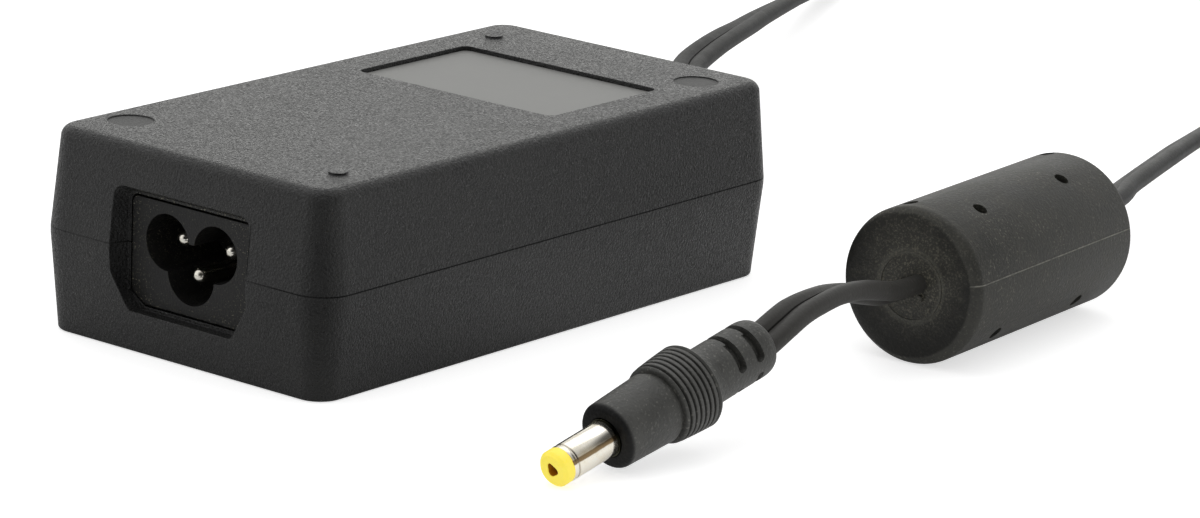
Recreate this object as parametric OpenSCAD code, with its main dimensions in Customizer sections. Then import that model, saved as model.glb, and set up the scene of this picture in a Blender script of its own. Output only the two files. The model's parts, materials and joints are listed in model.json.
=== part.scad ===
// Laptop power adapter: a two-part moulded case with a cloverleaf mains inlet at
// one end, and a fixed twin output lead with a ferrite sleeve and a barrel plug.
// +Z is up, the inlet faces -Y, and the origin is the centre of the case's base.

/* [Case] */
// Case width at the parting line
case_w = 58.8; // [58:0.2:60]
// Case length at the parting line
case_l = 108.6; // [108:0.2:110]
// Case height
case_h = 32.0; // [31.8:0.1:33]
// Height of the parting line above the base
split_z = 16.3; // [15.8:0.1:16.8]
// Upright band of the lower shell just under the parting line
lip_h = 1.2; // [0.8:0.1:1.6]
// Wall thickness of both shells
wall = 2.2; // [2:0.1:2.3]
// Thickness of the case top
top_wall = 2.6; // [2.4:0.1:2.7]
// Radius of the upright corners at the parting line
corner_r = 5.5; // [5.2:0.1:6]
// Radius of the top edge
top_edge_r = 1.9; // [1.6:0.1:2.2]
// Radius of the bottom edge
bottom_edge_r = 0.5; // [0.3:0.1:0.6]
// Inward draft of the upper shell, mm per mm of height
upper_draft = 0.098; // [0.09:0.002:0.1]
// Inward draft of the lower shell, mm per mm of height
lower_draft = 0.091; // [0.085:0.002:0.1]
// Thickness of the tongue that locks the shells together
tongue_t = 1.0; // [0.9:0.1:1]
// Height of the tongue
tongue_h = 1.5; // [1.2:0.1:1.6]
// Gap between the tongue and its rebate
tongue_gap = 0.1; // [0.05:0.05:0.2]

/* [Case top] */
// Label recess, across the case
label_w = 40.0; // [38:0.5:41]
// Label recess, along the case
label_l = 26.6; // [25:0.2:27]
// Distance from the far end of the case to the recess centre
label_end = 33.4; // [33:0.1:34]
// Depth of the label recess
label_recess = 0.9; // [0.8:0.1:1.1]
// Thickness of the blank label plate
label_t = 0.2; // [0.15:0.05:0.3]
// Corner radius of the recess
label_r = 1.5; // [1:0.1:2]
// Gap round the label plate
label_gap = 0.15; // [0.1:0.05:0.25]
// Diameter of the raised pips
pip_d = 3.0; // [2.4:0.2:3.4]
// Height of the raised pips
pip_h = 0.3; // [0.2:0.1:0.5]
// Diameter of the shallow discs
disc_d = 7.2; // [6.6:0.2:7.6]
// Depth of the shallow discs
disc_depth = 0.15; // [0.1:0.05:0.3]

/* [Mains inlet] */
// Half width of the pocket at its mouth
pocket_half = 13.85; // [13.6:0.05:14.2]
// Half width of the pocket at the inlet face
pocket_half_back = 12.9; // [12.7:0.05:13.1]
// Depth of the inlet face behind the case end
face_depth = 3.15; // [3:0.05:3.3]
// Half width of the inlet housing
inlet_half = 12.05; // [11.9:0.05:12.1]
// Bottom of the inlet housing
inlet_z0 = 7.2; // [7.1:0.1:7.3]
// Top of the inlet housing
inlet_z1 = 23.7; // [23.5:0.1:23.8]
// Gap between the inlet housing and the case
inlet_gap = 0.35; // [0.3:0.05:0.45]
// Length of the inlet housing behind its face
inlet_len = 17.0; // [16:0.5:17.5]
// Depth of the cloverleaf socket
socket_depth = 14.5; // [13.5:0.5:14.5]
// Half distance between the line and neutral pins
pin_half_pitch = 4.87; // [4.8:0.05:5]
// Height of the line and neutral pins
pin_z = 17.65; // [17.5:0.05:17.8]
// Height of the earth pin
earth_z = 13.26; // [13.1:0.05:13.4]
// Pin diameter
pin_d = 2.4; // [2.3:0.05:2.5]
// Diameter of the pin's shank, which the housing holds
shank_d = 2.0; // [1.8:0.05:2.1]
// Distance from the case end to the line and neutral pin tips
pin_tip = 5.9; // [5.7:0.1:6.2]
// Distance from the case end to the earth pin tip
earth_tip = 4.2; // [4.15:0.05:4.5]
// Radius of the two upper lobes of the socket
lobe_r = 4.4; // [4.3:0.05:4.5]
// Radius of the earth lobe of the socket
earth_lobe_r = 4.7; // [4.6:0.05:4.8]

/* [Output lead] */
// Thickness of the twin cord
cord_t = 3.0; // [2.8:0.1:3.1]
// Width of the twin cord
cord_w = 5.9; // [5.6:0.1:6]
// Height of the cord's exit from the case
exit_z = 16.3; // [15.8:0.1:16.8]
// Length of the bend boot
boot_len = 20.0; // [20:0.5:21]
// Diameter of the boot at the case
boot_d0 = 9.6; // [9:0.2:10]
// Diameter of the boot at its end
boot_d1 = 7.4; // [7:0.2:7.6]
// Turns in each layer of the put-away coil
coil_turns = 3; // [2:1:3]
// Radius of the outermost turn, to the cord's centre
coil_r = 35.5; // [35:0.5:36]
// Distance between turns, side by side
coil_pitch = 3.6; // [3.6:0.1:3.8]
// Distance between the two layers
coil_layer = 6.6; // [6.5:0.1:6.8]
// Thickness of the strap round the coil
tie_t = 0.8; // [0.8:0.1:1]
// Width of the strap
tie_w = 8.0; // [6:0.5:10]

/* [Ferrite] */
// Radius of the moulded sleeve
sleeve_r = 12.3; // [12.2:0.1:12.5]
// Length of the sleeve
sleeve_len = 48.0; // [47:0.5:49]
// Radius of the ferrite core
core_r = 9.8; // [9:0.2:10.4]
// Length of the ferrite core
core_len = 38.0; // [34:1:40]
// Bore radius of the ferrite core
core_bore_r = 3.9; // [3.7:0.1:4.5]

/* [Plug] */
// Outer diameter of the barrel
barrel_d = 5.5; // [5.45:0.05:5.6]
// Barrel wall thickness
barrel_wall = 0.35; // [0.3:0.05:0.4]
// Bore of the centre contact
contact_bore = 1.7; // [1.65:0.05:1.75]
// Distance from the tip seam to the nose of the moulding
nose_s = 10.0; // [9.8:0.1:10.2]
// Radius of the nose at its front
nose_r = 5.05; // [4.9:0.05:5.2]
// Radius of the nose at its back
nose_back_r = 5.4; // [5.3:0.1:5.5]
// Start of the ribbed collar
collar_s = 20.8; // [20.6:0.1:21]
// Length of the ribbed collar
collar_len = 6.9; // [6.7:0.1:7.1]
// Largest radius of the collar
collar_r = 6.5; // [6.4:0.1:6.6]
// Number of grooves round the collar
rib_count = 6; // [5:1:7]
// Radius of the strain relief
relief_r = 4.45; // [4.3:0.05:4.6]
// End of the strain relief
relief_end_s = 42.2; // [42:0.1:42.4]
// Width of the strain relief's slots
slot_w = 1.3; // [1.1:0.1:1.5]

/* [Inside] */
// Thickness of the circuit board
board_t = 1.6; // [1.5:0.1:1.7]
// Height of the board's underside
board_z = 4.6; // [4.4:0.1:4.7]
// Room between the board and the case at each side
board_side = 2.9; // [2.6:0.1:3.2]
// Thickness of the heatsink plates
sink_t = 1.5; // [1.2:0.1:1.6]
// Thickness of the heat spreader
spreader_t = 0.8; // [0.6:0.1:1]
// Gap between the heat spreader and the case top
spreader_gap = 1.2; // [0.8:0.1:1.4]
// Room above the bulk capacitor, up to the heat spreader
bulk_clear = 2.9; // [2.6:0.1:3.4]
// Distance from the bulk capacitor to the transformer
bulk_to_trafo = 6.5; // [6:0.5:8]

/* [Hidden] */

// Smoothness of round surfaces
round_fn = 64;
// Overlap that lets one cut pass through another face
cut = 0.5;
half_w = case_w / 2;
half_l = case_l / 2;
edge_steps = 6;

// ---- Case shape: a profile is a list of [inset, height] points ----

// Inset of the case outside at a height, before the edges are rounded
function case_inset(z) = z > split_z
    ? (z - split_z) * upper_draft
    : max(0, split_z - lip_h - z) * lower_draft;

// A quarter arc of [inset, height] points that rounds an edge
function edge_arc(inset, z, r, start) = [
    for (i = [0:edge_steps])
        let (a = start + 90 * i / edge_steps)
        [inset + r - r * cos(a), z + r * sin(a)]
];

upper_profile = concat(
    [[0, split_z]],
    edge_arc(case_inset(case_h - top_edge_r), case_h - top_edge_r, top_edge_r, 0)
);
lower_profile = concat(
    edge_arc(case_inset(bottom_edge_r), bottom_edge_r, bottom_edge_r, -90),
    [[0, split_z - lip_h], [0, split_z]]
);
upper_cavity = [
    [wall, split_z - cut],
    [wall, split_z],
    [wall + case_inset(case_h - top_wall), case_h - top_wall]
];
lower_cavity = [
    [wall + case_inset(wall), wall],
    [wall, split_z - lip_h],
    [wall, split_z + cut]
];

// Outline of a profile on both sides of the middle
function both_sides(half, profile) = concat(
    [for (p = profile) [half - p[0], p[1]]],
    [for (i = [len(profile) - 1:-1:0]) [profile[i][0] - half, profile[i][1]]]
);

// Solid with the plan of the case, whose sides follow a profile
module case_solid(profile) {
    flat_w = half_w - corner_r;
    flat_l = half_l - corner_r;
    last = len(profile) - 1;
    rotate([90, 0, 0])
        linear_extrude(height = 2 * flat_l, center = true)
        polygon(both_sides(half_w, profile));
    rotate([90, 0, 90])
        linear_extrude(height = 2 * flat_w, center = true)
        polygon(both_sides(half_l, profile));
    for (quarter = [0:3])
        translate([
            (quarter == 0 || quarter == 3 ? 1 : -1) * flat_w,
            (quarter < 2 ? 1 : -1) * flat_l,
            0
        ])
        rotate([0, 0, 90 * quarter])
        rotate_extrude(angle = 90, $fn = round_fn)
        polygon(concat(
            [[0, profile[0][1]]],
            [for (p = profile) [corner_r - p[0], p[1]]],
            [[0, profile[last][1]]]
        ));
}

// Upright block with the plan of the case, drawn in by an inset
module case_block(inset, z0, z1) {
    case_solid([[inset, z0], [inset, z1]]);
}

// Box from its two corners
module box(low, high) {
    translate(low)
        cube(high - low);
}

// Rectangle with rounded corners, centred
module round_rect(w, l, r) {
    square([w - 2 * r, l], center = true);
    square([w, l - 2 * r], center = true);
    for (x = [-1, 1], y = [-1, 1])
        translate([x * (w / 2 - r), y * (l / 2 - r)])
        circle(r, $fn = 32);
}

// ---- Mains inlet pocket ----

// Room between the inlet housing and the pocket's top and floor, at mouth and back
mouth_above = 2.0;
mouth_below = 0.7;
back_above = 0.7;
back_below = 0.9;
// The chamfers cut this much off each bottom corner
mouth_chamfer_w = 3.55;
mouth_chamfer_h = 5.7;
back_chamfer_w = 3.0;
back_chamfer_h = 3.2;
housing_chamfer_w = 2.85;
housing_chamfer_h = 1.8;
pocket_top_r = 1.8;
housing_top_r = 1.0;
pocket_top = inlet_z1 + mouth_above;
pocket_bottom = inlet_z0 - mouth_below;
pocket_back_top = inlet_z1 + back_above;
pocket_back_bottom = inlet_z0 - back_below;
collar_wall = 2.2;
collar_depth = 5.6;
collar_top = pocket_top + collar_wall;
collar_bottom = pocket_bottom - collar_wall;
face_y = -half_l + face_depth;
collar_y = -half_l + collar_depth;
flange_t = 1.8;
flange_play = 0.2;
flange_y = collar_y + flange_play;
flange_side = 2.1;
flange_over = 1.6;
flange_half = inlet_half + flange_side;
rib_t = 1.2;
rib_y = flange_y + flange_t + flange_play;
rib_w = 4;
rib_x = inlet_half + inlet_gap;

// Outline in the plane of the case end: flat bottom with two chamfers, round top
function pocket_points(half, z0, z1, chamfer_w, chamfer_h, r) = concat(
    [[chamfer_w - half, z0], [half - chamfer_w, z0], [half, z0 + chamfer_h]],
    [for (a = [0:15:90]) [half - r + r * cos(a), z1 - r + r * sin(a)]],
    [for (a = [90:15:180]) [r - half + r * cos(a), z1 - r + r * sin(a)]],
    [[-half, z0 + chamfer_h]]
);
mouth_points = pocket_points(
    pocket_half, pocket_bottom, pocket_top, mouth_chamfer_w, mouth_chamfer_h, pocket_top_r
);
throat_points = pocket_points(
    pocket_half_back, pocket_back_bottom, pocket_back_top, back_chamfer_w, back_chamfer_h,
    pocket_top_r
);

// Outline of the inlet housing, drawn larger by a gap
function housing_points(gap) = pocket_points(
    inlet_half + gap, inlet_z0 - gap, inlet_z1 + gap, housing_chamfer_w + gap / 2,
    housing_chamfer_h + gap / 2, housing_top_r + gap
);

// Prism along Y, from y0 to y1, of an outline in the plane of the case end
module end_prism(points, y0, y1) {
    translate([0, y1, 0])
        rotate([90, 0, 0])
        linear_extrude(height = y1 - y0)
        polygon(points);
}

// The pocket narrows from its mouth to the inlet face
thin = 0.02;
module inlet_cut() {
    hull() {
        end_prism(mouth_points, -half_l - cut, -half_l + cut);
        end_prism(throat_points, face_y - thin, face_y);
    }
    end_prism(housing_points(inlet_gap), face_y - thin, collar_y + cut);
}

// Solid round the pocket, which holds the inlet's flange from the front
module inlet_collar(z0, z1) {
    half = pocket_half + collar_wall;
    box([-half, -half_l + wall - cut, z0], [half, collar_y, z1]);
}

// ---- Shells ----

// The board lies on posts, set in from its edges
board_front_gap = 0.6;
board_back_gap = 4.9;
board_y0 = rib_y + rib_t + board_front_gap;
board_y1 = half_l - wall - board_back_gap;
board_half = half_w - wall - board_side;
board_top = board_z + board_t;
post_r = 3.0;
post_x = board_half - 4.8;
post_y0 = board_y0 + 6.7;
post_y1 = board_y1 - 3.2;
peg_r = 1.1;
peg_gap = 0.2;
exit_r = 4.0;
rebate = wall - tongue_t - tongue_gap;
grommet_flange_r = 6.0;
grommet_flange_t = 1.6;
clamp_play = 0.15;
neck_play = 0.1;
grommet_neck_r = exit_r - neck_play;
// Radius of the wires' slot through the clamp rib
rib_slot_r = exit_r - 0.8;
// Overlap of the flange ribs with the housing's top and bottom
rib_overlap = 1.5;
// Front of the grommet's flange, clear of the drafted end wall
grommet_y = half_l - wall - case_inset(exit_z + grommet_flange_r) - clamp_play;
clamp_t = 1.4;
clamp_half = 9.0;
label_floor = case_h - label_recess;
label_y = half_l - label_end;

// Round hole for the output grommet through the far end wall
module exit_hole() {
    translate([0, half_l + cut, exit_z])
        rotate([90, 0, 0])
        cylinder(h = wall + 2 * cut, r = exit_r, $fn = round_fn);
}

// Rib behind the grommet's flange, with a slot for the wires
module clamp_rib(z0, z1) {
    y1 = grommet_y - grommet_flange_t - clamp_play;
    difference() {
        box([-clamp_half, y1 - clamp_t, z0], [clamp_half, y1, z1]);
        translate([0, y1 + cut, exit_z])
            rotate([90, 0, 0])
            cylinder(h = clamp_t + 2 * cut, r = rib_slot_r, $fn = round_fn);
    }
}

// Ribs that hold the inlet's flange from behind
module flange_ribs(z0, z1) {
    for (side = [0, 1])
        mirror([side, 0, 0])
        box([rib_x, rib_y, z0], [rib_x + rib_w, rib_y + rib_t, z1]);
}

module top_shell() {
    // Each is set in from a side and an end of the case
    pips = [[half_w - 8.3, 11.6 - half_l], [8.3 - half_w, half_l - 11.7]];
    discs = [[8.3 - half_w, 11.7 - half_l], [half_w - 8.7, half_l - 11.3]];
    tongue_z = split_z - tongue_h + tongue_gap;
    color([0.2, 0.2, 0.21])
    difference() {
        union() {
            difference() {
                case_solid(upper_profile);
                case_solid(upper_cavity);
            }
            difference() {
                case_block(wall - tongue_t, tongue_z, split_z + cut);
                case_block(wall, tongue_z - cut, split_z + 2 * cut);
            }
            inlet_collar(split_z, collar_top);
            clamp_rib(split_z, case_h - top_wall + cut);
            flange_ribs(inlet_z1 - rib_overlap, case_h - top_wall + cut);
            for (p = pips)
                translate([p[0], p[1], case_h - cut])
                cylinder(h = cut + pip_h, d = pip_d, $fn = 32);
        }
        inlet_cut();
        exit_hole();
        for (p = discs)
            translate([p[0], p[1], case_h - disc_depth])
            cylinder(h = cut, d = disc_d, $fn = round_fn);
        translate([0, label_y, label_floor])
            linear_extrude(height = 2 * label_recess)
            round_rect(label_w, label_l, label_r);
        // No tongue where the lower shell's collar stands against the end wall
        box([-pocket_half - collar_wall - tongue_gap, -half_l + wall - tongue_t - cut, 0],
            [pocket_half + collar_wall + tongue_gap, collar_y + cut, split_z]);
    }
}

module bottom_shell() {
    color([0.19, 0.19, 0.2])
    difference() {
        union() {
            difference() {
                case_solid(lower_profile);
                case_solid(lower_cavity);
                difference() {
                    case_block(rebate, split_z - tongue_h, split_z + cut);
                    box([-pocket_half - collar_wall, -half_l, 0],
                        [pocket_half + collar_wall, -half_l + wall, split_z]);
                }
            }
            inlet_collar(collar_bottom, split_z);
            clamp_rib(wall - cut, split_z);
            flange_ribs(wall - cut, inlet_z0 + rib_overlap);
            for (x = [-post_x, post_x], y = [post_y0, post_y1])
                translate([x, y, wall - cut]) {
                    cylinder(h = board_z - wall + cut, r = post_r, $fn = 32);
                    cylinder(h = board_z - wall + cut + board_t, r = peg_r, $fn = 32);
                }
        }
        inlet_cut();
        exit_hole();
    }
}

module label_plate() {
    color([0.34, 0.34, 0.36])
        translate([0, label_y, label_floor])
        linear_extrude(height = label_t)
        round_rect(label_w - 2 * label_gap, label_l - 2 * label_gap, label_r);
}

// ---- Mains inlet ----

inlet_back = face_y + inlet_len;
socket_back = face_y + socket_depth;
pin_back = inlet_back + 3;
tab_r = 0.8;
tab_inset = 0.2;
// The pin's full diameter stops this far in front of the socket's floor
shoulder_gap = 0.4;
// The earth lobe's middle lies a little above its pin
earth_lobe_z = earth_z + 0.34;

module inlet_housing() {
    color([0.13, 0.13, 0.14])
    difference() {
        union() {
            end_prism(housing_points(0), face_y, inlet_back);
            box([-flange_half, flange_y, inlet_z0 - flange_over],
                [flange_half, flange_y + flange_t, inlet_z1 + flange_over]);
        }
        for (x = [-pin_half_pitch, pin_half_pitch])
            translate([x, socket_back, pin_z])
            rotate([90, 0, 0])
            cylinder(h = socket_depth + cut, r = lobe_r, $fn = round_fn);
        translate([0, socket_back, earth_lobe_z])
            rotate([90, 0, 0])
            cylinder(h = socket_depth + cut, r = earth_lobe_r, $fn = round_fn);
        for (p = [[-pin_half_pitch, pin_z], [pin_half_pitch, pin_z], [0, earth_z]])
            translate([p[0], inlet_back + cut, p[1]])
            rotate([90, 0, 0])
            cylinder(h = inlet_back - socket_back + 2 * cut, d = shank_d, $fn = round_fn);
    }
}

// Round contact pin with a domed tip, a thinner shank and a tab down to the board
module contact_pin(x, z, tip) {
    tip_y = -half_l + tip;
    shoulder_y = socket_back - shoulder_gap;
    r = pin_d / 2;
    color([0.78, 0.76, 0.72]) {
        translate([x, tip_y + r, z])
            sphere(r = r, $fn = round_fn);
        translate([x, shoulder_y, z])
            rotate([90, 0, 0])
            cylinder(h = shoulder_y - tip_y - r, r = r, $fn = round_fn);
        translate([x, pin_back, z])
            rotate([90, 0, 0])
            cylinder(h = pin_back - shoulder_y + cut, d = shank_d, $fn = round_fn);
        translate([x, pin_back - tab_r - tab_inset, board_z + board_t])
            cylinder(h = z - board_z - board_t, r = tab_r, $fn = 32);
    }
}

module line_pin() contact_pin(pin_half_pitch, pin_z, pin_tip);
module neutral_pin() contact_pin(-pin_half_pitch, pin_z, pin_tip);
module earth_pin() contact_pin(0, earth_z, earth_tip);

// ---- Circuit board and what stands on it ----

lead_r = 0.4;
// Clearance under a piece that lies on another
seat_gap = 0.3;
// Underside of the heat spreader, which lies on the heatsink plates
sink_top = case_h - top_wall - spreader_gap - spreader_t;
sink_x = board_half - 1.1;
bulk_y0 = board_y0 + 25.7;
trafo_y = board_y1 - 23.7;
secondary_sink_y1 = board_y1 - 7.2;

// Thin upright lead from the board to a height
module lead(x, y, z) {
    translate([x, y, board_top])
        cylinder(h = z - board_top, r = lead_r, $fn = 16);
}

module post_holes(r) {
    for (x = [-post_x, post_x], y = [post_y0, post_y1])
        translate([x, y, 0])
        cylinder(h = split_z, r = r, $fn = 32);
}

module circuit_board() {
    color([0.05, 0.35, 0.2])
    difference() {
        box([-board_half, board_y0, board_z], [board_half, board_y1, board_top]);
        post_holes(peg_r + peg_gap);
    }
}

// Sheet between the board and the case; its far end has notches round the posts
module insulator_sheet() {
    sheet_t = 0.4;
    margin = 1.2;
    z = wall + seat_gap;
    color([0.85, 0.85, 0.75])
    difference() {
        box([margin - board_half, board_y0, z], [board_half - margin, board_y1 - margin, z + sheet_t]);
        post_holes(post_r + peg_gap);
    }
}

module heat_spreader() {
    half = sink_x - 0.7;
    y0 = bulk_y0 + 3;
    y1 = secondary_sink_y1 + 2;
    color([0.75, 0.75, 0.77])
        box([-half, y0, sink_top], [half, y1, sink_top + spreader_t]);
}

module fuse() {
    place = [-20.5, board_y0 + 11.7, 0];
    r = 2.6;
    len = 15;
    reach = 1.2;
    z = board_top + r + seat_gap;
    color([0.8, 0.78, 0.7])
    translate(place) {
        translate([0, len, z])
            rotate([90, 0, 0])
            cylinder(h = len, r = r, $fn = 32);
        for (y = [-reach, len + reach])
            lead(0, y, z + lead_r);
        translate([0, len + reach + lead_r, z])
            rotate([90, 0, 0])
            cylinder(h = len + 2 * (reach + lead_r), r = lead_r, $fn = 16);
    }
}

module x_capacitor() {
    size = [18, 8.5, sink_top - board_top - seat_gap - 6.3];
    corner = [-6, board_y0 + 14.7, board_top + seat_gap];
    edge = 1.5;
    color([0.85, 0.7, 0.15]) {
        box(corner, corner + size);
        for (x = [edge, size[0] - edge])
            lead(corner[0] + x, corner[1] + size[1] / 2, corner[2] + cut);
    }
}

choke_x = -11.5;
choke_y = board_y0 + 35.2;
choke_r = 8.2;
choke_bore = 4.4;
choke_h = 7.5;
winding_t = 1.1;
winding_gap = 0.05;
winding_span = 100;
choke_z = board_top + seat_gap + winding_t + winding_gap;

module choke_core() {
    color([0.25, 0.3, 0.28])
    translate([choke_x, choke_y, choke_z])
    difference() {
        cylinder(h = choke_h, r = choke_r, $fn = round_fn);
        translate([0, 0, -cut])
            cylinder(h = choke_h + 2 * cut, r = choke_bore, $fn = round_fn);
    }
}

// Two windings, each wrapped round one side of the ring core
module choke_winding() {
    outer = choke_r + winding_gap + winding_t;
    inner = choke_bore - winding_gap - winding_t;
    color([0.7, 0.4, 0.2])
    translate([choke_x, choke_y, choke_z])
    for (turn = [0, 180])
        rotate([0, 0, turn - winding_span / 2])
        rotate_extrude(angle = winding_span, $fn = round_fn)
        difference() {
            translate([inner, -winding_gap - winding_t])
                square([outer - inner, choke_h + 2 * (winding_gap + winding_t)]);
            translate([choke_bore - winding_gap, -winding_gap])
                square([choke_r - choke_bore + 2 * winding_gap, choke_h + 2 * winding_gap]);
        }
}

bulk_d = sink_top - board_top - seat_gap - bulk_clear;
bulk_x = 14.6;

// It stands beside the bulk capacitor
module bridge_rectifier() {
    size = [3.4, 15, 11];
    corner = [bulk_x - bulk_d / 2 - 1.3 - size[0], board_y0 + 27.2, board_top + 3];
    lead_pitch = 3.8;
    color([0.1, 0.1, 0.11]) {
        box(corner, corner + size);
        for (k = [-1.5:1.5])
            lead(corner[0] + size[0] / 2, corner[1] + size[1] / 2 + k * lead_pitch, corner[2] + cut);
    }
}

module bulk_capacitor() {
    z = board_top + bulk_d / 2 + seat_gap;
    reach = 1.2;
    lead_half_pitch = 3.75;
    color([0.1, 0.12, 0.3])
    translate([bulk_x, bulk_y1, z])
        rotate([90, 0, 0])
        cylinder(h = bulk_y1 - bulk_y0, d = bulk_d, $fn = round_fn);
    color([0.7, 0.7, 0.7])
    for (side = [-lead_half_pitch, lead_half_pitch])
        translate([bulk_x + side, bulk_y0, 0]) {
            translate([0, cut, z])
                rotate([90, 0, 0])
                cylinder(h = cut + reach + lead_r, r = lead_r, $fn = 16);
            lead(0, -reach, z + lead_r);
        }
}

primary_sink_y0 = choke_y + choke_r + winding_gap + winding_t + 1.15;
primary_sink_y1 = primary_sink_y0 + 23;

// Upright plate with a fin that stops short of the transformer
module primary_heatsink() {
    fin_x = trafo_x - core_w / 2 - 1.5;
    color([0.75, 0.75, 0.77]) {
        box([-sink_x, primary_sink_y0, board_top], [sink_t - sink_x, primary_sink_y1, sink_top]);
        box([-sink_x, primary_sink_y1 - sink_t, board_top], [fin_x, primary_sink_y1, sink_top]);
    }
}

// Moulded transistor with three leads; its back lies on a heatsink
module power_package(side, y) {
    lift = 4;
    size = [4.4, 10, sink_top - board_top - lift - 2.2];
    lead_pitch = 2.54;
    corner = [side < 0 ? sink_t - sink_x : sink_x - sink_t - size[0], y, board_top + lift];
    color([0.1, 0.1, 0.11]) {
        box(corner, corner + size);
        for (k = [-1:1])
            lead(corner[0] + size[0] / 2, y + size[1] / 2 + k * lead_pitch, corner[2] + cut);
    }
}

module switching_transistor() power_package(-1, primary_sink_y0 + 4.5);
module output_rectifier() power_package(1, board_y1 - 23.2);

module secondary_heatsink() {
    color([0.75, 0.75, 0.77])
        box([sink_x - sink_t, bulk_y1 + 5, board_top], [sink_x, secondary_sink_y1, sink_top]);
}

// Transformer: a bobbin and its winding between the limbs of a ferrite core
trafo_x = -1.5;
trafo_z = board_top + 1.5;
core_w = 26;
core_d = 12;
core_h = sink_top - trafo_z - 0.7;
bulk_y1 = trafo_y - core_d / 2 - bulk_to_trafo;
limb = 4;
centre_r = 4.4;
bobbin_t = 0.9;
window_h = core_h - 2 * limb;
window_w = core_w - 2 * limb;
play = 0.1;

module transformer_core() {
    color([0.22, 0.22, 0.23])
    translate([trafo_x, trafo_y, trafo_z]) {
        difference() {
            translate([-core_w / 2, -core_d / 2, 0])
                cube([core_w, core_d, core_h]);
            translate([-window_w / 2, -core_d, limb])
                cube([window_w, 2 * core_d, window_h]);
        }
        translate([0, 0, limb - cut])
            cylinder(h = window_h + 2 * cut, r = centre_r, $fn = round_fn);
    }
}

module transformer_bobbin() {
    r0 = centre_r + play;
    r1 = window_w / 2 - play;
    color([0.75, 0.7, 0.6])
    translate([trafo_x, trafo_y, trafo_z + limb + play])
        rotate_extrude($fn = round_fn)
        polygon([
            [r0, 0], [r1, 0], [r1, bobbin_t], [r0 + bobbin_t, bobbin_t],
            [r0 + bobbin_t, window_h - 2 * play - bobbin_t],
            [r1, window_h - 2 * play - bobbin_t],
            [r1, window_h - 2 * play], [r0, window_h - 2 * play]
        ]);
}

module transformer_winding() {
    r0 = centre_r + play + bobbin_t;
    r1 = window_w / 2 - 3 * play;
    color([0.85, 0.75, 0.2])
    translate([trafo_x, trafo_y, trafo_z + limb + play + bobbin_t])
    difference() {
        cylinder(h = window_h - 2 * play - 2 * bobbin_t, r = r1, $fn = round_fn);
        translate([0, 0, -cut])
            cylinder(h = window_h + 2 * cut, r = r0, $fn = round_fn);
    }
}

module output_capacitors() {
    places = [[-11.5, board_y1 - 8.7, board_top], [-0.5, board_y1 - 8.7, board_top]];
    can_d = 10;
    can_h = 16;
    color([0.1, 0.12, 0.3])
    for (place = places)
        translate(place)
        cylinder(h = can_h, d = can_d, $fn = round_fn);
}

module output_choke() {
    place = [10, board_y1 - 6.2, board_top];
    cheek_r = 4.5;
    cheek_t = 1.5;
    body_r = 3.2;
    h = 10;
    color([0.3, 0.3, 0.3])
    translate(place) {
        cylinder(h = h, r = body_r, $fn = round_fn);
        for (z = [0, h - cheek_t])
            translate([0, 0, z])
            cylinder(h = cheek_t, r = cheek_r, $fn = round_fn);
    }
}

module y_capacitor() {
    place = [-19.6, primary_sink_y1 + 9.5, 0];
    disc_t = 3;
    r = 4.2;
    z = board_top + 6;
    lead_half_pitch = 2.5;
    color([0.2, 0.4, 0.7])
    translate(place) {
        translate([0, disc_t / 2, z])
            rotate([90, 0, 0])
            cylinder(h = disc_t, r = r, $fn = round_fn);
        for (x = [-lead_half_pitch, lead_half_pitch])
            lead(x, 0, z - r / 2);
    }
}

module optocoupler() {
    size = [6.5, 4.6, 3.5];
    corner = [-21.5, trafo_y + 1.5, board_top];
    color([0.12, 0.12, 0.12])
        box(corner, corner + size);
}

module controller_ic() {
    size = [5, 4, 1.4];
    corner = [-8, board_y0 + 49.7, board_top];
    color([0.12, 0.12, 0.12])
        box(corner, corner + size);
}

// ---- Cord: a twin section swept along a route ----

lobe = cord_t / 2;
lobe_x = cord_w / 2 - lobe;
waist = lobe * 0.6;
// Twin section of 12 points: two lobes and the groove between them
twin_section = concat(
    [for (a = [-100:50:100]) [lobe_x + lobe * cos(a), lobe * sin(a)]],
    [[0, waist]],
    [for (a = [80:50:280]) [-lobe_x + lobe * cos(a), lobe * sin(a)]],
    [[0, -waist]]
);
// Six-sided section for the wound cord
coil_section = [
    [cord_w / 2, 0], [lobe_x, lobe], [-lobe_x, lobe],
    [-cord_w / 2, 0], [-lobe_x, -lobe], [lobe_x, -lobe]
];
// Round section of 12 points and radius 1
round_section = [for (i = [0:11]) [cos(30 * i), sin(30 * i)]];

function unit(v) = v / norm(v);
function place(p) = [p[0], p[1], p[2]];
function direction(route, i) = unit(
    place(route[min(i + 1, len(route) - 1)]) - place(route[max(i - 1, 0)])
);

// One ring: the section's first axis turned by the route's roll about the cord
function ring(route, section, i, scale, ahead) =
    let (side = unit(cross(ahead, [0, 0, 1])))
    let (up = cross(side, ahead))
    let (roll = route[i][3])
    let (wide = cos(roll) * side + sin(roll) * up)
    let (thin = cos(roll) * up - sin(roll) * side)
    [for (p = section) place(route[i]) + scale * (p[0] * wide + p[1] * thin)];

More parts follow.
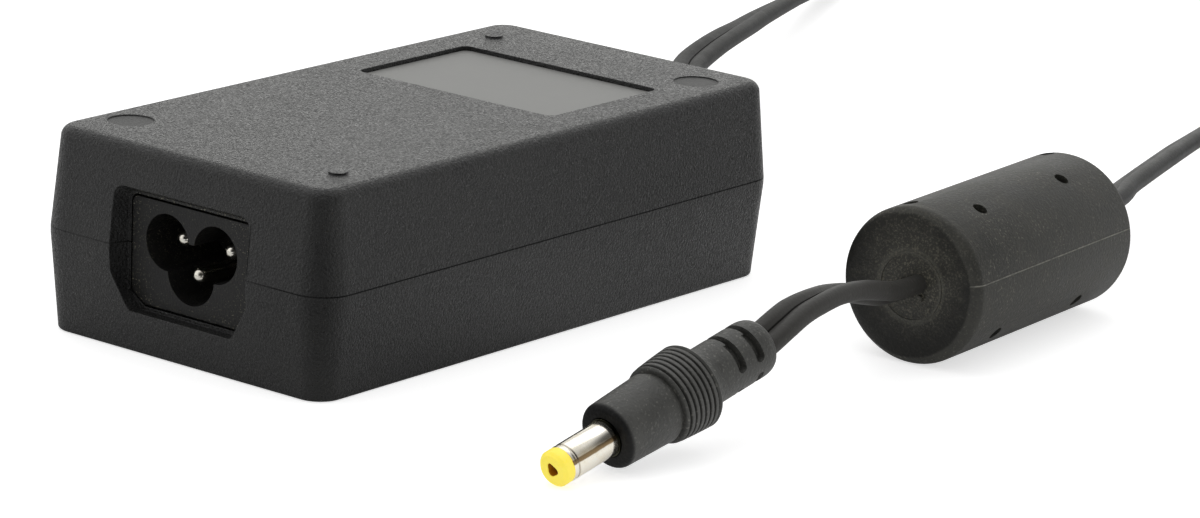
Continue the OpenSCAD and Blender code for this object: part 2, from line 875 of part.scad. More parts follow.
// Tube along a route of [x, y, z, roll] points. Its first and last rings are
// square to the given directions, and its radius may change along it.
module swept(route, section, first, last, scale0 = 1, scale1 = 1) {
    n = len(section);
    m = len(route);
    rings = [
        for (i = [0:m - 1])
            let (ahead = i == 0 ? first : (i == m - 1 ? last : direction(route, i)))
            let (scale = scale0 + (scale1 - scale0) * i / (m - 1))
            ring(route, section, i, scale, ahead)
    ];
    sides = [
        for (i = [0:m - 2], k = [0:n - 1])
            let (a = i * n + k)
            let (b = i * n + (k + 1) % n)
            each [[a, b, b + n], [a, b + n, a + n]]
    ];
    // Ends as fans about their middles, because the twin section is waisted
    start = m * n;
    end = start + 1;
    caps = [
        for (k = [0:n - 1])
            let (next = (k + 1) % n)
            each [[start, next, k], [end, (m - 1) * n + k, (m - 1) * n + next]]
    ];
    polyhedron(
        points = concat(
            [for (r = rings) each r],
            [place(route[0]), place(route[m - 1])]
        ),
        faces = concat(sides, caps),
        convexity = 8
    );
}

module cord_colour() {
    color([0.22, 0.22, 0.22])
        children();
}

// Bend boot: it leaves square to the case and leans over
boot_lean = 30;
boot_r = boot_len / (boot_lean * PI / 180);
boot_rings = 8;
function boot_point(a) = [-boot_r * (1 - cos(a)), half_l + boot_r * sin(a), exit_z, 0];
boot_route = [for (i = [0:boot_rings]) boot_point(boot_lean * i / boot_rings)];
boot_ahead = [-sin(boot_lean), cos(boot_lean), 0];

module cord_boot() {
    color([0.16, 0.16, 0.17])
        swept(boot_route, round_section, [0, 1, 0], boot_ahead, boot_d0 / 2, boot_d1 / 2);
}

// Grommet gripped by both shells where the cord leaves the case
module cord_grommet() {
    color([0.16, 0.16, 0.17]) {
        translate([0, half_l, exit_z])
            rotate([90, 0, 0])
            cylinder(h = half_l - grommet_y + cut, r = grommet_neck_r, $fn = round_fn);
        translate([0, grommet_y, exit_z])
            rotate([90, 0, 0])
            cylinder(h = grommet_flange_t, r = grommet_flange_r, $fn = round_fn);
    }
}

// Two insulated wires from the grommet down to the board
module output_wires() {
    wire_r = 1.0;
    wire_half_pitch = 1.5;
    board_inset = 2.2;
    y0 = grommet_y - grommet_flange_t;
    y1 = board_y1 - board_inset;
    color([0.75, 0.1, 0.1])
    for (x = [-wire_half_pitch, wire_half_pitch]) {
        translate([x, y0, exit_z])
            rotate([90, 0, 0])
            cylinder(h = y0 - y1, r = wire_r, $fn = 32);
        translate([x, y1, exit_z])
            sphere(r = wire_r, $fn = 32);
        translate([x, y1, board_top])
            cylinder(h = exit_z - board_top, r = wire_r, $fn = 32);
    }
}

// Put-away coil: it spirals in, climbs one layer and spirals out again
coil_x = 45.5;
coil_y = 262;
coil_steps = 24;
coil_count = 2 * coil_turns * coil_steps;
coil_half = coil_turns * coil_steps;
tie_play = 0.05;
coil_z = tie_t + tie_play + cord_w / 2;
coil_tail = 6.5;

function smooth(t) = t <= 0 ? 0 : (t >= 1 ? 1 : t * t * (3 - 2 * t));
function coil_radius(i) =
    coil_r - coil_pitch * (coil_half - abs(i - coil_half)) / coil_steps;
function coil_height(i) =
    coil_z + coil_layer * smooth((i - coil_half) / (coil_steps / 2) + 0.5);
function coil_point(i) =
    let (a = 180 - 360 * i / coil_steps)
    [coil_x + coil_radius(i) * cos(a), coil_y + coil_radius(i) * sin(a), coil_height(i), 90];
coil_start = [coil_x - coil_r, coil_y - coil_tail, coil_z, 90];
coil_end = [coil_x - coil_r, coil_y + coil_tail, coil_z + coil_layer, 90];
coil_points = [for (i = [0:coil_count]) coil_point(i)];

// Gap between two stretches of upright twin cord
function cord_gap(p, q) =
    let (flat = norm([p[0] - q[0], p[1] - q[1]]))
    let (rise = max(0, abs(p[2] - q[2]) - 2 * lobe_x))
    norm([flat, rise]) - cord_t;
function least_coil_gap() = min([
    for (i = [0:coil_count], j = [i + coil_steps / 2:coil_count])
        cord_gap(coil_points[i], coil_points[j])
]);
function route_length(route) = len(route) < 2 ? 0 : [
    for (i = 1, total = norm(place(route[1]) - place(route[0]));
        i < len(route);
        i = i + 1,
        total = total + (i < len(route) ? norm(place(route[i]) - place(route[i - 1])) : 0))
        total
][len(route) - 2];

module cord_coil() {
    route = concat([coil_start], coil_points, [coil_end]);
    echo(least_coil_gap = least_coil_gap());
    echo(coil_length = route_length(route));
    cord_colour()
        swept(route, coil_section, [0, 1, 0], [0, 1, 0]);
}

// Strap round the coil's turns
module coil_tie() {
    play = 0.3;
    least_r = coil_r - coil_pitch * (coil_turns - 0.5) - cord_t / 2;
    // The strap is straight where the turns curve, so it stands off inside them
    inner_r = least_r - 2 * play - tie_w * tie_w / 8 / least_r;
    outer_r = coil_r - coil_pitch / 2 + cord_t / 2 + play;
    inner_h = coil_layer + cord_w + 2 * tie_play + play;
    mid = coil_x + (inner_r + outer_r) / 2;
    bend_r = tie_t;
    color([0.1, 0.1, 0.1])
    translate([mid, coil_y + tie_w / 2, tie_t + inner_h / 2])
        rotate([90, 0, 0])
        linear_extrude(height = tie_w)
        difference() {
            round_rect(outer_r - inner_r + 2 * tie_t, inner_h + 2 * tie_t, bend_r + tie_t);
            round_rect(outer_r - inner_r, inner_h, bend_r);
        }
}

// ---- Ferrite sleeve: placed by its front face, along its own axis ----

sleeve_x = 74.8;
sleeve_y = 28.1;
sleeve_heading = 94.3;
sleeve_roll = 27;
sleeve_ahead = [cos(sleeve_heading), sin(sleeve_heading), 0];
sleeve_front = [sleeve_x, sleeve_y, sleeve_r];
sleeve_back = sleeve_front + sleeve_len * sleeve_ahead;
sleeve_steps = 5;

module at_sleeve() {
    translate(sleeve_front)
        rotate([0, 90, sleeve_heading])
        children();
}

// Passage with the section of the twin cord
module twin_prism(length) {
    rotate([0, 0, 90 - sleeve_roll])
        linear_extrude(height = length) {
            for (x = [-lobe_x, lobe_x])
                translate([x, 0])
                circle(r = lobe, $fn = 32);
            square([2 * lobe_x, 2 * waist], center = true);
        }
}

module ferrite_sleeve() {
    // Roundings of the two ends, along the axis (a) and across it (b)
    front_a = 1.3;
    front_b = 2.6;
    back_a = 2.0;
    back_b = 3.8;
    ring_r = 5.5;
    ring_t = 0.35;
    ring_h = 0.15;
    // Stub left by the moulding gate, on the front face
    nub = [1.5, -1.9];
    nub_r = 0.5;
    nub_h = 0.6;
    // Mould-pin holes in rows of two along the sleeve:
    // [distance from the front face, distance from the back face, angle round the axis]
    hole_rows = [[10.6, 12.6, -155], [9.8, 13.4, -52], [10.2, 13, 25], [10.2, 13, 128], [3.6, 3, 166]];
    hole_r = 1.2;
    hole_depth = 1.6;
    core_s = (sleeve_len - core_len) / 2;
    color([0.3, 0.3, 0.3])
    at_sleeve()
    difference() {
        union() {
            rotate_extrude($fn = 96)
                polygon(concat(
                    [[0, 0]],
                    [
                        for (i = [0:sleeve_steps])
                            let (a = 90 * i / sleeve_steps)
                            [sleeve_r - front_b + front_b * sin(a), front_a * (1 - cos(a))]
                    ],
                    [
                        for (i = [0:sleeve_steps])
                            let (a = 90 * i / sleeve_steps)
                            [sleeve_r - back_b + back_b * cos(a), sleeve_len - back_a * (1 - sin(a))]
                    ],
                    [[0, sleeve_len]]
                ));
            translate([0, 0, -ring_h])
                difference() {
                    cylinder(h = ring_h + cut, r = ring_r, $fn = round_fn);
                    translate([0, 0, -cut])
                        cylinder(h = ring_h + cut, r = ring_r - ring_t, $fn = round_fn);
                }
            translate([nub[0], nub[1], -nub_h])
                cylinder(h = nub_h + cut, r = nub_r, $fn = 16);
        }
        translate([0, 0, core_s])
            cylinder(h = core_len, r = core_r, $fn = 96);
        translate([0, 0, -cut])
            twin_prism(sleeve_len + 2 * cut);
        for (row = hole_rows, s = [row[0], sleeve_len - row[1]])
            rotate([0, 0, row[2]])
            translate([sleeve_r - hole_depth, 0, s])
            rotate([0, 90, 0])
            cylinder(h = hole_depth + cut, r = hole_r, $fn = 32);
    }
}

module ferrite_core() {
    color([0.25, 0.25, 0.26])
    at_sleeve()
    translate([0, 0, (sleeve_len - core_len) / 2])
    difference() {
        cylinder(h = core_len, r = core_r, $fn = 96);
        translate([0, 0, -cut])
            cylinder(h = core_len + 2 * cut, r = core_bore_r, $fn = round_fn);
    }
}

module cord_core_run() {
    cord_colour()
        at_sleeve()
        twin_prism(sleeve_len);
}

// ---- Plug: placed by its tip seam, along its own axis ----

plug_x = 76.1;
plug_y = -57.2;
plug_z = 2.8;
plug_heading = 85.4;
plug_tilt = 14.1;
plug_ahead = [
    cos(plug_tilt) * cos(plug_heading), cos(plug_tilt) * sin(plug_heading), sin(plug_tilt)
];
plug_start = [plug_x, plug_y, plug_z];
plug_end = plug_start + relief_end_s * plug_ahead;
tip_len = 1.0;
tip_front = -1.0;
barrel_hold = 12;
contact_hold = 3;
contact_wall = 0.35;
// A flange on the barrel stands a little out of the nose
flange_r = barrel_d / 2 + 0.2;
flange_s = nose_s - 0.15;
bore_end_s = tip_len + 10;
barrel_end_s = nose_s + barrel_hold;
contact_end_s = barrel_end_s + contact_hold;
contact_r = contact_bore / 2 + contact_wall;
insert_r = barrel_d / 2 - barrel_wall;
insert_end_s = barrel_end_s - 1;

module at_plug() {
    translate(plug_start)
        rotate([0, 90 - plug_tilt, plug_heading])
        children();
}

// Radius of the collar, which widens from its front to its back
collar_taper = 0.5;
collar_curve = 1.3;
function collar_radius(t) = collar_r - collar_taper * pow(1 - t, collar_curve);

module plug_body() {
    edge = 1.0;
    step_len = 0.4;
    step_depth = 0.25;
    rib_depth = 0.28;
    rib_margin = 0.6;
    groove_at = 0.3;
    land_at = 0.6;
    arc_steps = 4;
    rib_pitch = (collar_len - 2 * rib_margin) / rib_count;
    neck_len = 3.3;
    dome_len = 2.2;
    dome_inset = 0.8;
    neck_s = collar_s + collar_len + neck_len;
    dome_s = relief_end_s - dome_len;
    dome_r = relief_r - dome_inset;
    slot_core_r = 3.15;
    web_w = 2.4;
    slots = [34.5, 38.4];
    color([0.24, 0.24, 0.24])
    at_plug()
    difference() {
        rotate_extrude($fn = round_fn)
            polygon(concat(
                [[0, nose_s]],
                [for (i = [0:arc_steps]) let (a = 90 * i / arc_steps)
                    [nose_r - edge + edge * sin(a), nose_s + edge * (1 - cos(a))]],
                [[nose_back_r, collar_s - 2 * step_len]],
                [[nose_back_r - step_depth, collar_s - step_len]],
                [[nose_back_r - step_depth, collar_s], [collar_radius(0), collar_s]],
                [
                    for (i = [0:rib_count - 1])
                        let (s = rib_margin + rib_pitch * i)
                        each [
                            [collar_radius(s / collar_len), collar_s + s],
                            [collar_radius(s / collar_len) - rib_depth, collar_s + s + groove_at * rib_pitch],
                            [collar_radius(s / collar_len), collar_s + s + land_at * rib_pitch]
                        ]
                ],
                [[collar_radius(1), collar_s + collar_len]],
                [for (i = [1:arc_steps]) let (a = 90 * i / arc_steps)
                    [relief_r + (collar_radius(1) - relief_r) * (1 - sin(a)),
                        collar_s + collar_len + (neck_s - collar_s - collar_len) * (1 - cos(a))]],
                [for (i = [0:arc_steps]) let (a = 90 * i / arc_steps)
                    [dome_r + (relief_r - dome_r) * cos(a),
                        dome_s + (relief_end_s - dome_s) * sin(a)]],
                [[0, relief_end_s]]
            ));
        translate([0, 0, nose_s - cut])
            cylinder(h = barrel_end_s - nose_s + cut, r = flange_r, $fn = round_fn);
        translate([0, 0, barrel_end_s - cut])
            cylinder(h = contact_end_s - barrel_end_s + cut, r = contact_r, $fn = round_fn);
        for (s = slots)
            translate([0, 0, s - slot_w / 2])
            difference() {
                cylinder(h = slot_w, r = 2 * relief_r, $fn = round_fn);
                translate([0, 0, -cut])
                    cylinder(h = slot_w + 2 * cut, r = slot_core_r, $fn = round_fn);
                translate([-web_w / 2, -3 * relief_r, -cut])
                    cube([web_w, 6 * relief_r, slot_w + 2 * cut]);
            }
    }
}

// Plain barrel from the groove to the flange, behind a rolled bead
module plug_barrel() {
    bead_s = 1.3;
    groove_s = 1.7;
    groove_w = 0.4;
    groove_depth = 0.12;
    edge = 0.1;
    bead_fall = 0.04;
    r = barrel_d / 2;
    color([0.8, 0.79, 0.76])
    at_plug()
        rotate_extrude($fn = round_fn)
        polygon([
            [r - barrel_wall, tip_len], [r - edge, tip_len], [r, bead_s],
            [r - bead_fall, groove_s], [r - groove_depth, groove_s + groove_w / 2],
            [r, groove_s + groove_w],
            [r, flange_s], [flange_r, flange_s], [flange_r, barrel_end_s],
            [r - barrel_wall, barrel_end_s]
        ]);
}

module plug_tip() {
    tip_inset = 0.03;
    r = barrel_d / 2 - tip_inset;
    bevel = 0.45;
    mouth_r = contact_bore / 2;
    color([0.95, 0.8, 0.1])
    at_plug()
        rotate_extrude($fn = round_fn)
        polygon([
            [mouth_r, tip_front], [r - bevel, tip_front], [r, tip_front + bevel],
            [r, tip_len], [insert_r, tip_len], [insert_r, insert_end_s],
            [contact_r, insert_end_s], [contact_r, tip_len], [mouth_r, tip_len]
        ]);
}

module plug_contact() {
    color([0.7, 0.55, 0.25])
    at_plug()
        translate([0, 0, tip_len])
        difference() {
            cylinder(h = contact_end_s - tip_len, r = contact_r, $fn = round_fn);
            translate([0, 0, -cut])
                cylinder(h = bore_end_s - tip_len + cut, d = contact_bore, $fn = round_fn);
        }
}

// ---- Routes of the cord: [x, y, z, roll] ----

brick_route = concat(
    [boot_route[boot_rings]],
    [
        [-10.2, 81, 16.3, 5], [-16, 88.5, 16.2, 10], [-21.6, 95.5, 15.9, 15],
        [-26.9, 102.2, 15.6, 19], [-31.6, 109.3, 15.2, 21], [-39.6, 124.6, 14.2, 21],
        [-47.1, 139.9, 12.8, 20], [-53.7, 153.5, 11.3, 19], [-60, 166.7, 9.8, 22],
        [-66.8, 181.2, 8.2, 25], [-73.6, 195.7, 6.6, 27], [-80, 209.5, 5, 32],
        [-86, 223, 3.7, 38], [-90.5, 236, 2.9, 44], [-92.5, 249, 2.8, 50],
        [-91, 262, 2.8, 58], [-86, 274, 2.9, 66], [-77.5, 283.5, 3, 74],
        [-66, 290, 3, 80], [-53, 293.5, 3.2, 85], [-41, 295, 3.9, 88],
        [-28.5, 295.3, 5.1, 90], [-16, 294.3, 6.8, 90], [-4.2, 290.3, 8.6, 90],
        [5.3, 281.8, 9.9, 90]
    ],
    [coil_end]
);
ferrite_route = concat(
    [[sleeve_back[0], sleeve_back[1], sleeve_back[2], sleeve_roll]],
    [
        [70.5, 83.5, 12.3, 28], [68.8, 90.5, 12.2, 30], [66.4, 97, 12.1, 31],
        [63.7, 103.2, 11.9, 32], [59.4, 115, 11.2, 32], [54.3, 129, 10.2, 32],
        [48.8, 143.9, 9, 32], [43.1, 159.7, 7.6, 35], [37.7, 174.2, 6.4, 42],
        [32, 189, 5.4, 50], [26.5, 203.6, 4.7, 60], [21.2, 218, 4.2, 70],
        [16.4, 231.2, 3.9, 80], [12.4, 243.8, 3.8, 88]
    ],
    [coil_start]
);
plug_route = concat(
    [[plug_end[0], plug_end[1], plug_end[2], -20]],
    [
        [79.4, -10.6, 14.7, -15], [78.9, -6.5, 15.5, -8], [78.5, -2, 15.9, 0],
        [77.9, 2.7, 15.9, 8], [77.3, 7.4, 15.5, 14], [76.6, 12, 14.8, 19],
        [76, 16.6, 13.8, 23], [75.5, 20.8, 12.9, 26]
    ],
    [[sleeve_front[0], sleeve_front[1], sleeve_front[2], sleeve_roll]]
);

module cord_brick_run() {
    echo(brick_run_length = route_length(brick_route));
    cord_colour()
        swept(brick_route, twin_section, boot_ahead, [0, -1, 0]);
}

module cord_ferrite_run() {
    echo(ferrite_run_length = route_length(ferrite_route));
    cord_colour()
        swept(ferrite_route, twin_section, sleeve_ahead, [0, 1, 0]);
}

module cord_plug_run() {
    echo(plug_run_length = route_length(plug_route));
    cord_colour()
        swept(plug_route, twin_section, plug_ahead, sleeve_ahead);
}

top_shell();
bottom_shell();
label_plate();
inlet_housing();
line_pin();
neutral_pin();
earth_pin();
circuit_board();
insulator_sheet();
heat_spreader();
fuse();
x_capacitor();
choke_core();
choke_winding();
bridge_rectifier();
bulk_capacitor();
primary_heatsink();
switching_transistor();
transformer_core();
transformer_bobbin();
transformer_winding();
secondary_heatsink();
output_rectifier();
output_capacitors();
output_choke();
y_capacitor();
optocoupler();
controller_ic();
output_wires();
cord_grommet();
cord_boot();
cord_brick_run();
cord_coil();
coil_tie();
cord_ferrite_run();
ferrite_sleeve();
ferrite_core();
cord_core_run();
cord_plug_run();
plug_body();
plug_barrel();
plug_tip();
plug_contact();
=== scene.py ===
"""Looks of a laptop power adapter: case, mains inlet, and output lead with a ferrite and a barrel plug."""

import json
import math

import bmesh
import bpy
from mathutils import Matrix, Vector


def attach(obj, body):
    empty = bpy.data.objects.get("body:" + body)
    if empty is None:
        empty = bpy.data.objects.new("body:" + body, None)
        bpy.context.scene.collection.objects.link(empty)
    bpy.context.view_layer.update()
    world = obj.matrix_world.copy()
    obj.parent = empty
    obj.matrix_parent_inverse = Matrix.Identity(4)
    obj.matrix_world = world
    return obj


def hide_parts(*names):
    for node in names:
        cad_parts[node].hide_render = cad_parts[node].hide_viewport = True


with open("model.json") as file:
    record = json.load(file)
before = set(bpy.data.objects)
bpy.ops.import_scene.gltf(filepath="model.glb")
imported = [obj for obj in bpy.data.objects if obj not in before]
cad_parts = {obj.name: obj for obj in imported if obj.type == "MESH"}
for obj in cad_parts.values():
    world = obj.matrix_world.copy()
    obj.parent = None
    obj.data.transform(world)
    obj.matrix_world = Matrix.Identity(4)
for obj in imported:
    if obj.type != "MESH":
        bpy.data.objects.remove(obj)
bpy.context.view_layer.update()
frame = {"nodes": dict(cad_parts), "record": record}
NODES = frame["nodes"]
MM = 0.001

# ---- Camera ----


def make_camera():
    """A long lens, about 0.8 m from the part, for a picture of 1200 x 518."""
    data = bpy.data.cameras.new("camera")
    data.sensor_fit = "HORIZONTAL"
    data.sensor_width = 36
    data.lens = 153.73
    data.clip_start = 0.05
    data.clip_end = 60
    camera = bpy.data.objects.new("camera", data)
    right = Vector((0.77581, 0.62961, 0.04126))
    down = Vector((0.1986, -0.18161, -0.96311))
    ahead = Vector((-0.59889, 0.75538, -0.26594))
    matrix = Matrix((right, -down, -ahead)).transposed().to_4x4()
    matrix.translation = Vector((502.7147, -587.6198, 220.9845)) * MM
    camera.matrix_world = matrix
    bpy.context.scene.collection.objects.link(camera)
    bpy.context.scene.camera = camera


make_camera()

# ---- Places that both the shapes and the materials use ----

SLEEVE_FRONT = Vector((74.8, 28.1, 12.3)) * MM
SLEEVE_HEADING = math.radians(94.3)
SLEEVE_AXIS = Vector((math.cos(SLEEVE_HEADING), math.sin(SLEEVE_HEADING), 0))
SLEEVE_SIDE = Vector((-math.sin(SLEEVE_HEADING), math.cos(SLEEVE_HEADING), 0))
PLUG_START = Vector((76.1, -57.2, 2.8)) * MM
PLUG_HEADING = math.radians(85.4)
PLUG_TILT = math.radians(14.1)
PLUG_AXIS = Vector((
    math.cos(PLUG_TILT) * math.cos(PLUG_HEADING),
    math.cos(PLUG_TILT) * math.sin(PLUG_HEADING),
    math.sin(PLUG_TILT),
))
PLUG_SIDE = Vector((-math.sin(PLUG_HEADING), math.cos(PLUG_HEADING), 0))
PLUG_DOWN = PLUG_SIDE.cross(PLUG_AXIS)
# Along the plug, in mm from the tip's seam
NOSE = 10.0
COLLAR_START = 20.8
COLLAR_END = 27.7
RIBS = 6
RIB_MARGIN = 0.7
RIB_PITCH = (COLLAR_END - COLLAR_START - 2 * RIB_MARGIN) / RIBS
PLUG_LENGTH = 42.2
# On the case, in metres
PARTING_Z = 0.0163
POCKET_EDGE_X = 0.01397
DISCS = ((-0.0211, -0.0426, 0.03185), (0.0207, 0.043, 0.03185))
DISC_RADIUS = 0.0036
INLET_MIDDLE = (0, -0.0535, 0.0165)

# ---- Materials ----


class Nodes:
    """A node tree, built from short steps."""

    def __init__(self, tree):
        self.tree = tree
        tree.nodes.clear()

    def add(self, kind, **settings):
        node = self.tree.nodes.new(kind)
        for name, value in settings.items():
            setattr(node, name, value)
        return node

    def link(self, source, target):
        if hasattr(source, "is_output"):
            self.tree.links.new(source, target)
        else:
            target.default_value = source

    def math(self, operation, a, b=0.0):
        node = self.add("ShaderNodeMath", operation=operation)
        for socket, value in zip(node.inputs, (a, b)):
            self.link(value, socket)
        return node.outputs[0]

    def times(self, first, *others):
        """The product of all the values."""
        for other in others:
            first = self.math("MULTIPLY", first, other)
        return first

    def inverse(self, value):
        return self.math("SUBTRACT", 1.0, value)

    def ramp(self, value, low, high, to_low=0.0, to_high=1.0, smooth=True):
        node = self.add("ShaderNodeMapRange", interpolation_type="SMOOTHSTEP" if smooth else "LINEAR")
        names = ("Value", "From Min", "From Max", "To Min", "To Max")
        for name, number in zip(names, (value, low, high, to_low, to_high)):
            self.link(number, node.inputs[name])
        return node.outputs["Result"]

    def band(self, value, middle, inner, outer, level=1.0):
        """The level within inner of the middle, falling to 0 at outer."""
        off = self.math("ABSOLUTE", self.math("SUBTRACT", value, middle))
        return self.ramp(off, inner, outer, level, 0.0)

    def dot(self, vector, direction):
        node = self.add("ShaderNodeVectorMath", operation="DOT_PRODUCT")
        node.inputs[1].default_value = direction
        self.link(vector, node.inputs[0])
        return node.outputs["Value"]


class Look(Nodes):
    """A node material. Lengths are in metres, on the piece's own coordinates."""

    def __init__(self, name):
        self.material = bpy.data.materials.new(name)
        self.material.use_nodes = True
        super().__init__(self.material.node_tree)
        self.shader = self.add("ShaderNodeBsdfPrincipled")
        self.out = self.add("ShaderNodeOutputMaterial")
        self.link(self.shader.outputs["BSDF"], self.out.inputs["Surface"])
        self.place = self.add("ShaderNodeTexCoord").outputs["Object"]

    def set(self, **values):
        for name, value in values.items():
            self.link(value, self.shader.inputs[name.replace("_", " ")])
        return self

    def noise(self, scale, detail=3, rough=0.5, at=None):
        node = self.add("ShaderNodeTexNoise")
        node.inputs["Scale"].default_value = scale
        node.inputs["Detail"].default_value = detail
        node.inputs["Roughness"].default_value = rough
        self.link(at or self.place, node.inputs["Vector"])
        return node.outputs[0]

    def mix(self, factor, a, b):
        node = self.add("ShaderNodeMix", data_type="RGBA")
        self.link(factor, node.inputs["Factor"])
        for name, value in (("A", a), ("B", b)):
            socket = [s for s in node.inputs if s.name == name and s.type == "RGBA"][0]
            self.link(value if hasattr(value, "is_output") else (*value, 1), socket)
        return [s for s in node.outputs if s.type == "RGBA"][0]

    def bump(self, height, depth, edge=0.0):
        """Bump of that depth; edge is the radius of softened edges, in mm."""
        node = self.add("ShaderNodeBump")
        node.inputs["Distance"].default_value = depth
        self.link(height, node.inputs["Height"])
        if edge:
            bevel = self.add("ShaderNodeBevel", samples=6)
            bevel.inputs["Radius"].default_value = edge * MM
            self.link(bevel.outputs["Normal"], node.inputs["Normal"])
        return node.outputs["Normal"]

    def near(self, centre, radius, soft):
        """1 within the radius of a point, 0 beyond it."""
        away = self.add("ShaderNodeVectorMath", operation="DISTANCE")
        away.inputs[1].default_value = centre
        self.link(self.place, away.inputs[0])
        return self.ramp(away.outputs["Value"], radius - soft, radius + soft, 1.0, 0.0)

    def shade(self, factor):
        """Painted shade: lets the surface go black where the factor is 1, as in a deep groove."""
        black = self.add("ShaderNodeBsdfDiffuse")
        black.inputs["Color"].default_value = (0.001, 0.001, 0.001, 1)
        both = self.add("ShaderNodeMixShader")
        self.link(factor, both.inputs[0])
        self.link(self.shader.outputs["BSDF"], both.inputs[1])
        self.link(black.outputs[0], both.inputs[2])
        self.link(both.outputs[0], self.out.inputs["Surface"])

    def xyz(self):
        node = self.add("ShaderNodeSeparateXYZ")
        self.link(self.place, node.inputs[0])
        return node.outputs["X"], node.outputs["Y"], node.outputs["Z"]

    def local(self, origin, *axes):
        """Coordinates along axes of a piece, from its own origin."""
        step = self.add("ShaderNodeVectorMath", operation="SUBTRACT")
        step.inputs[1].default_value = origin
        self.link(self.place, step.inputs[0])
        return [self.dot(step.outputs[0], axis) for axis in axes]

    def radius(self, a, b):
        return self.math("SQRT", self.math("ADD", self.times(a, a), self.times(b, b)))

    def beside(self, down, side, degrees):
        """Distance from the plane through the axis that stands at that angle."""
        angle = math.radians(degrees)
        return self.math("SUBTRACT", self.times(down, math.sin(angle)), self.times(side, math.cos(angle)))


def grained(name, dark, light, rough, grain, depth, dust=0.0, dust_colour=None, ior=1.5, wave=120):
    """Matt or satin surface: colour patches, moulded grain, roughness patches and specks of dust."""
    look = Look(name)
    look.patches = look.noise(wave, 4, 0.6)
    look.fine = look.noise(grain, 2, 0.6)
    look.colour = look.mix(look.ramp(look.patches, 0.3, 0.7), dark, light)
    if dust:
        specks = look.ramp(look.noise(grain * 1.3, 1, 0.4), 0.72 - dust, 0.82 - dust * 0.5)
        where = look.ramp(look.noise(90, 3, 0.6), 0.4, 0.7, 0.3, 1.0)
        look.colour = look.mix(look.times(specks, where), look.colour, dust_colour)
    uneven = look.math("ADD", look.times(look.patches, 0.6), look.times(look.fine, 0.4))
    look.set(Roughness=look.ramp(uneven, 0.3, 0.7, rough - 0.06, rough + 0.06))
    look.set(Base_Color=look.colour, IOR=ior)
    if depth:
        look.set(Normal=look.bump(look.fine, depth * MM))
    return look


def simple(name, dark, light, rough=0.5, grain=1500, depth=0.015, **more):
    return grained(name, dark, light, rough, grain, depth, **more).material


def rubber(name, dark, light, rough, depth, grain, **more):
    return grained(name, dark, light, rough, grain, depth, wave=180, **more)


def metal(name, colour, other, rough=0.25):
    """Plated or bare metal with light tarnish and fine scratches."""
    look = Look(name)
    tarnish = look.noise(320, 4, 0.65)
    stretch = look.add("ShaderNodeMapping")
    stretch.inputs["Scale"].default_value = (1, 0.06, 1)
    look.link(look.place, stretch.inputs["Vector"])
    scratch = look.noise(6000, 2, 0.5, at=stretch.outputs[0])
    look.colour = look.mix(look.ramp(tarnish, 0.4, 0.75), colour, other)
    look.set(Base_Color=look.colour, Metallic=1.0, Normal=look.bump(scratch, 0.004 * MM))
    return look.set(Roughness=look.ramp(tarnish, 0.3, 0.75, rough - 0.08, rough + 0.12))


def case_plastic():
    """Dark plastic with a spark-eroded grain, smoother in two discs, with painted shade in the groove where
    the shells meet, up the pocket's right edge and a little on the discs.
    """
    look = grained("case_plastic", (0.0105, 0.0105, 0.0105), (0.0145, 0.0145, 0.0138), 0.42, 2500, 0.0)
    x, y, z = look.xyz()
    discs = look.math("MAXIMUM", *(look.near(disc, DISC_RADIUS, 0.0001) for disc in DISCS))
    height = look.math("ADD", look.times(look.fine, 0.85), look.times(look.noise(1300, 2, 0.5), 0.15))
    height = look.times(height, look.inverse(look.times(discs, 0.6)))
    # Seen at a low angle, the grain shows as fine changes in roughness
    pits = look.times(look.math("SUBTRACT", look.noise(3300, 1, 0.5), 0.5), look.inverse(discs))
    rough = look.math("ADD", look.ramp(look.patches, 0.3, 0.7, 0.39, 0.42), look.times(discs, 0.07))
    look.set(Roughness=look.math("ADD", rough, look.times(pits, 1.05)))
    # Painted shade in the groove where the shells meet, fainter on the inlet's side, where the shells close
    # more tightly
    tight = look.times(look.ramp(y, -0.0535, -0.05, 1.0, 0.0), look.ramp(x, 0.012, 0.022, 1.0, 0.3))
    groove = look.band(z, PARTING_Z, 0.00004, 0.00016, 0.85)
    groove = look.times(groove, look.inverse(look.times(tight, 0.62)))
    # A thin painted shadow line up the right edge of the inlet's pocket
    line = look.times(
        look.band(x, POCKET_EDGE_X, 0.00005, 0.00014, 0.75),
        look.ramp(y, -0.0537, -0.0533, 1.0, 0.0),
        look.ramp(z, 0.0155, 0.0185),
        look.ramp(z, 0.0245, 0.0252, 1.0, 0.0),
    )
    # Pale dust along the upper edge of the pocket
    specks = look.times(
        look.ramp(look.noise(3400, 1, 0.4), 0.6, 0.68),
        look.ramp(y, -0.0508, -0.0504, 0.6, 0.0),
        look.ramp(z, 0.0232, 0.0238),
        look.ramp(z, 0.0248, 0.0256, 1.0, 0.0),
        look.ramp(look.math("ABSOLUTE", x), 0.0095, 0.013, 1.0, 0.0),
    )
    look.set(Base_Color=look.mix(specks, look.colour, (0.3, 0.29, 0.21)))
    # Painted shade: the parting groove, the pocket's edge line and, a little, the two smooth discs
    look.shade(look.math("MAXIMUM", look.math("MAXIMUM", groove, line), look.times(discs, 0.13)))
    return look.set(Normal=look.bump(height, 0.32 * MM, 0.25)).material


def label_plastic():
    """Blank matt sheet, paler than the case."""
    look = grained("label_plastic", (0.202, 0.202, 0.194), (0.22, 0.22, 0.211), 0.5, 1500, 0.004)
    return look.set(Roughness=look.ramp(look.patches, 0.3, 0.7, 0.5, 0.53)).material


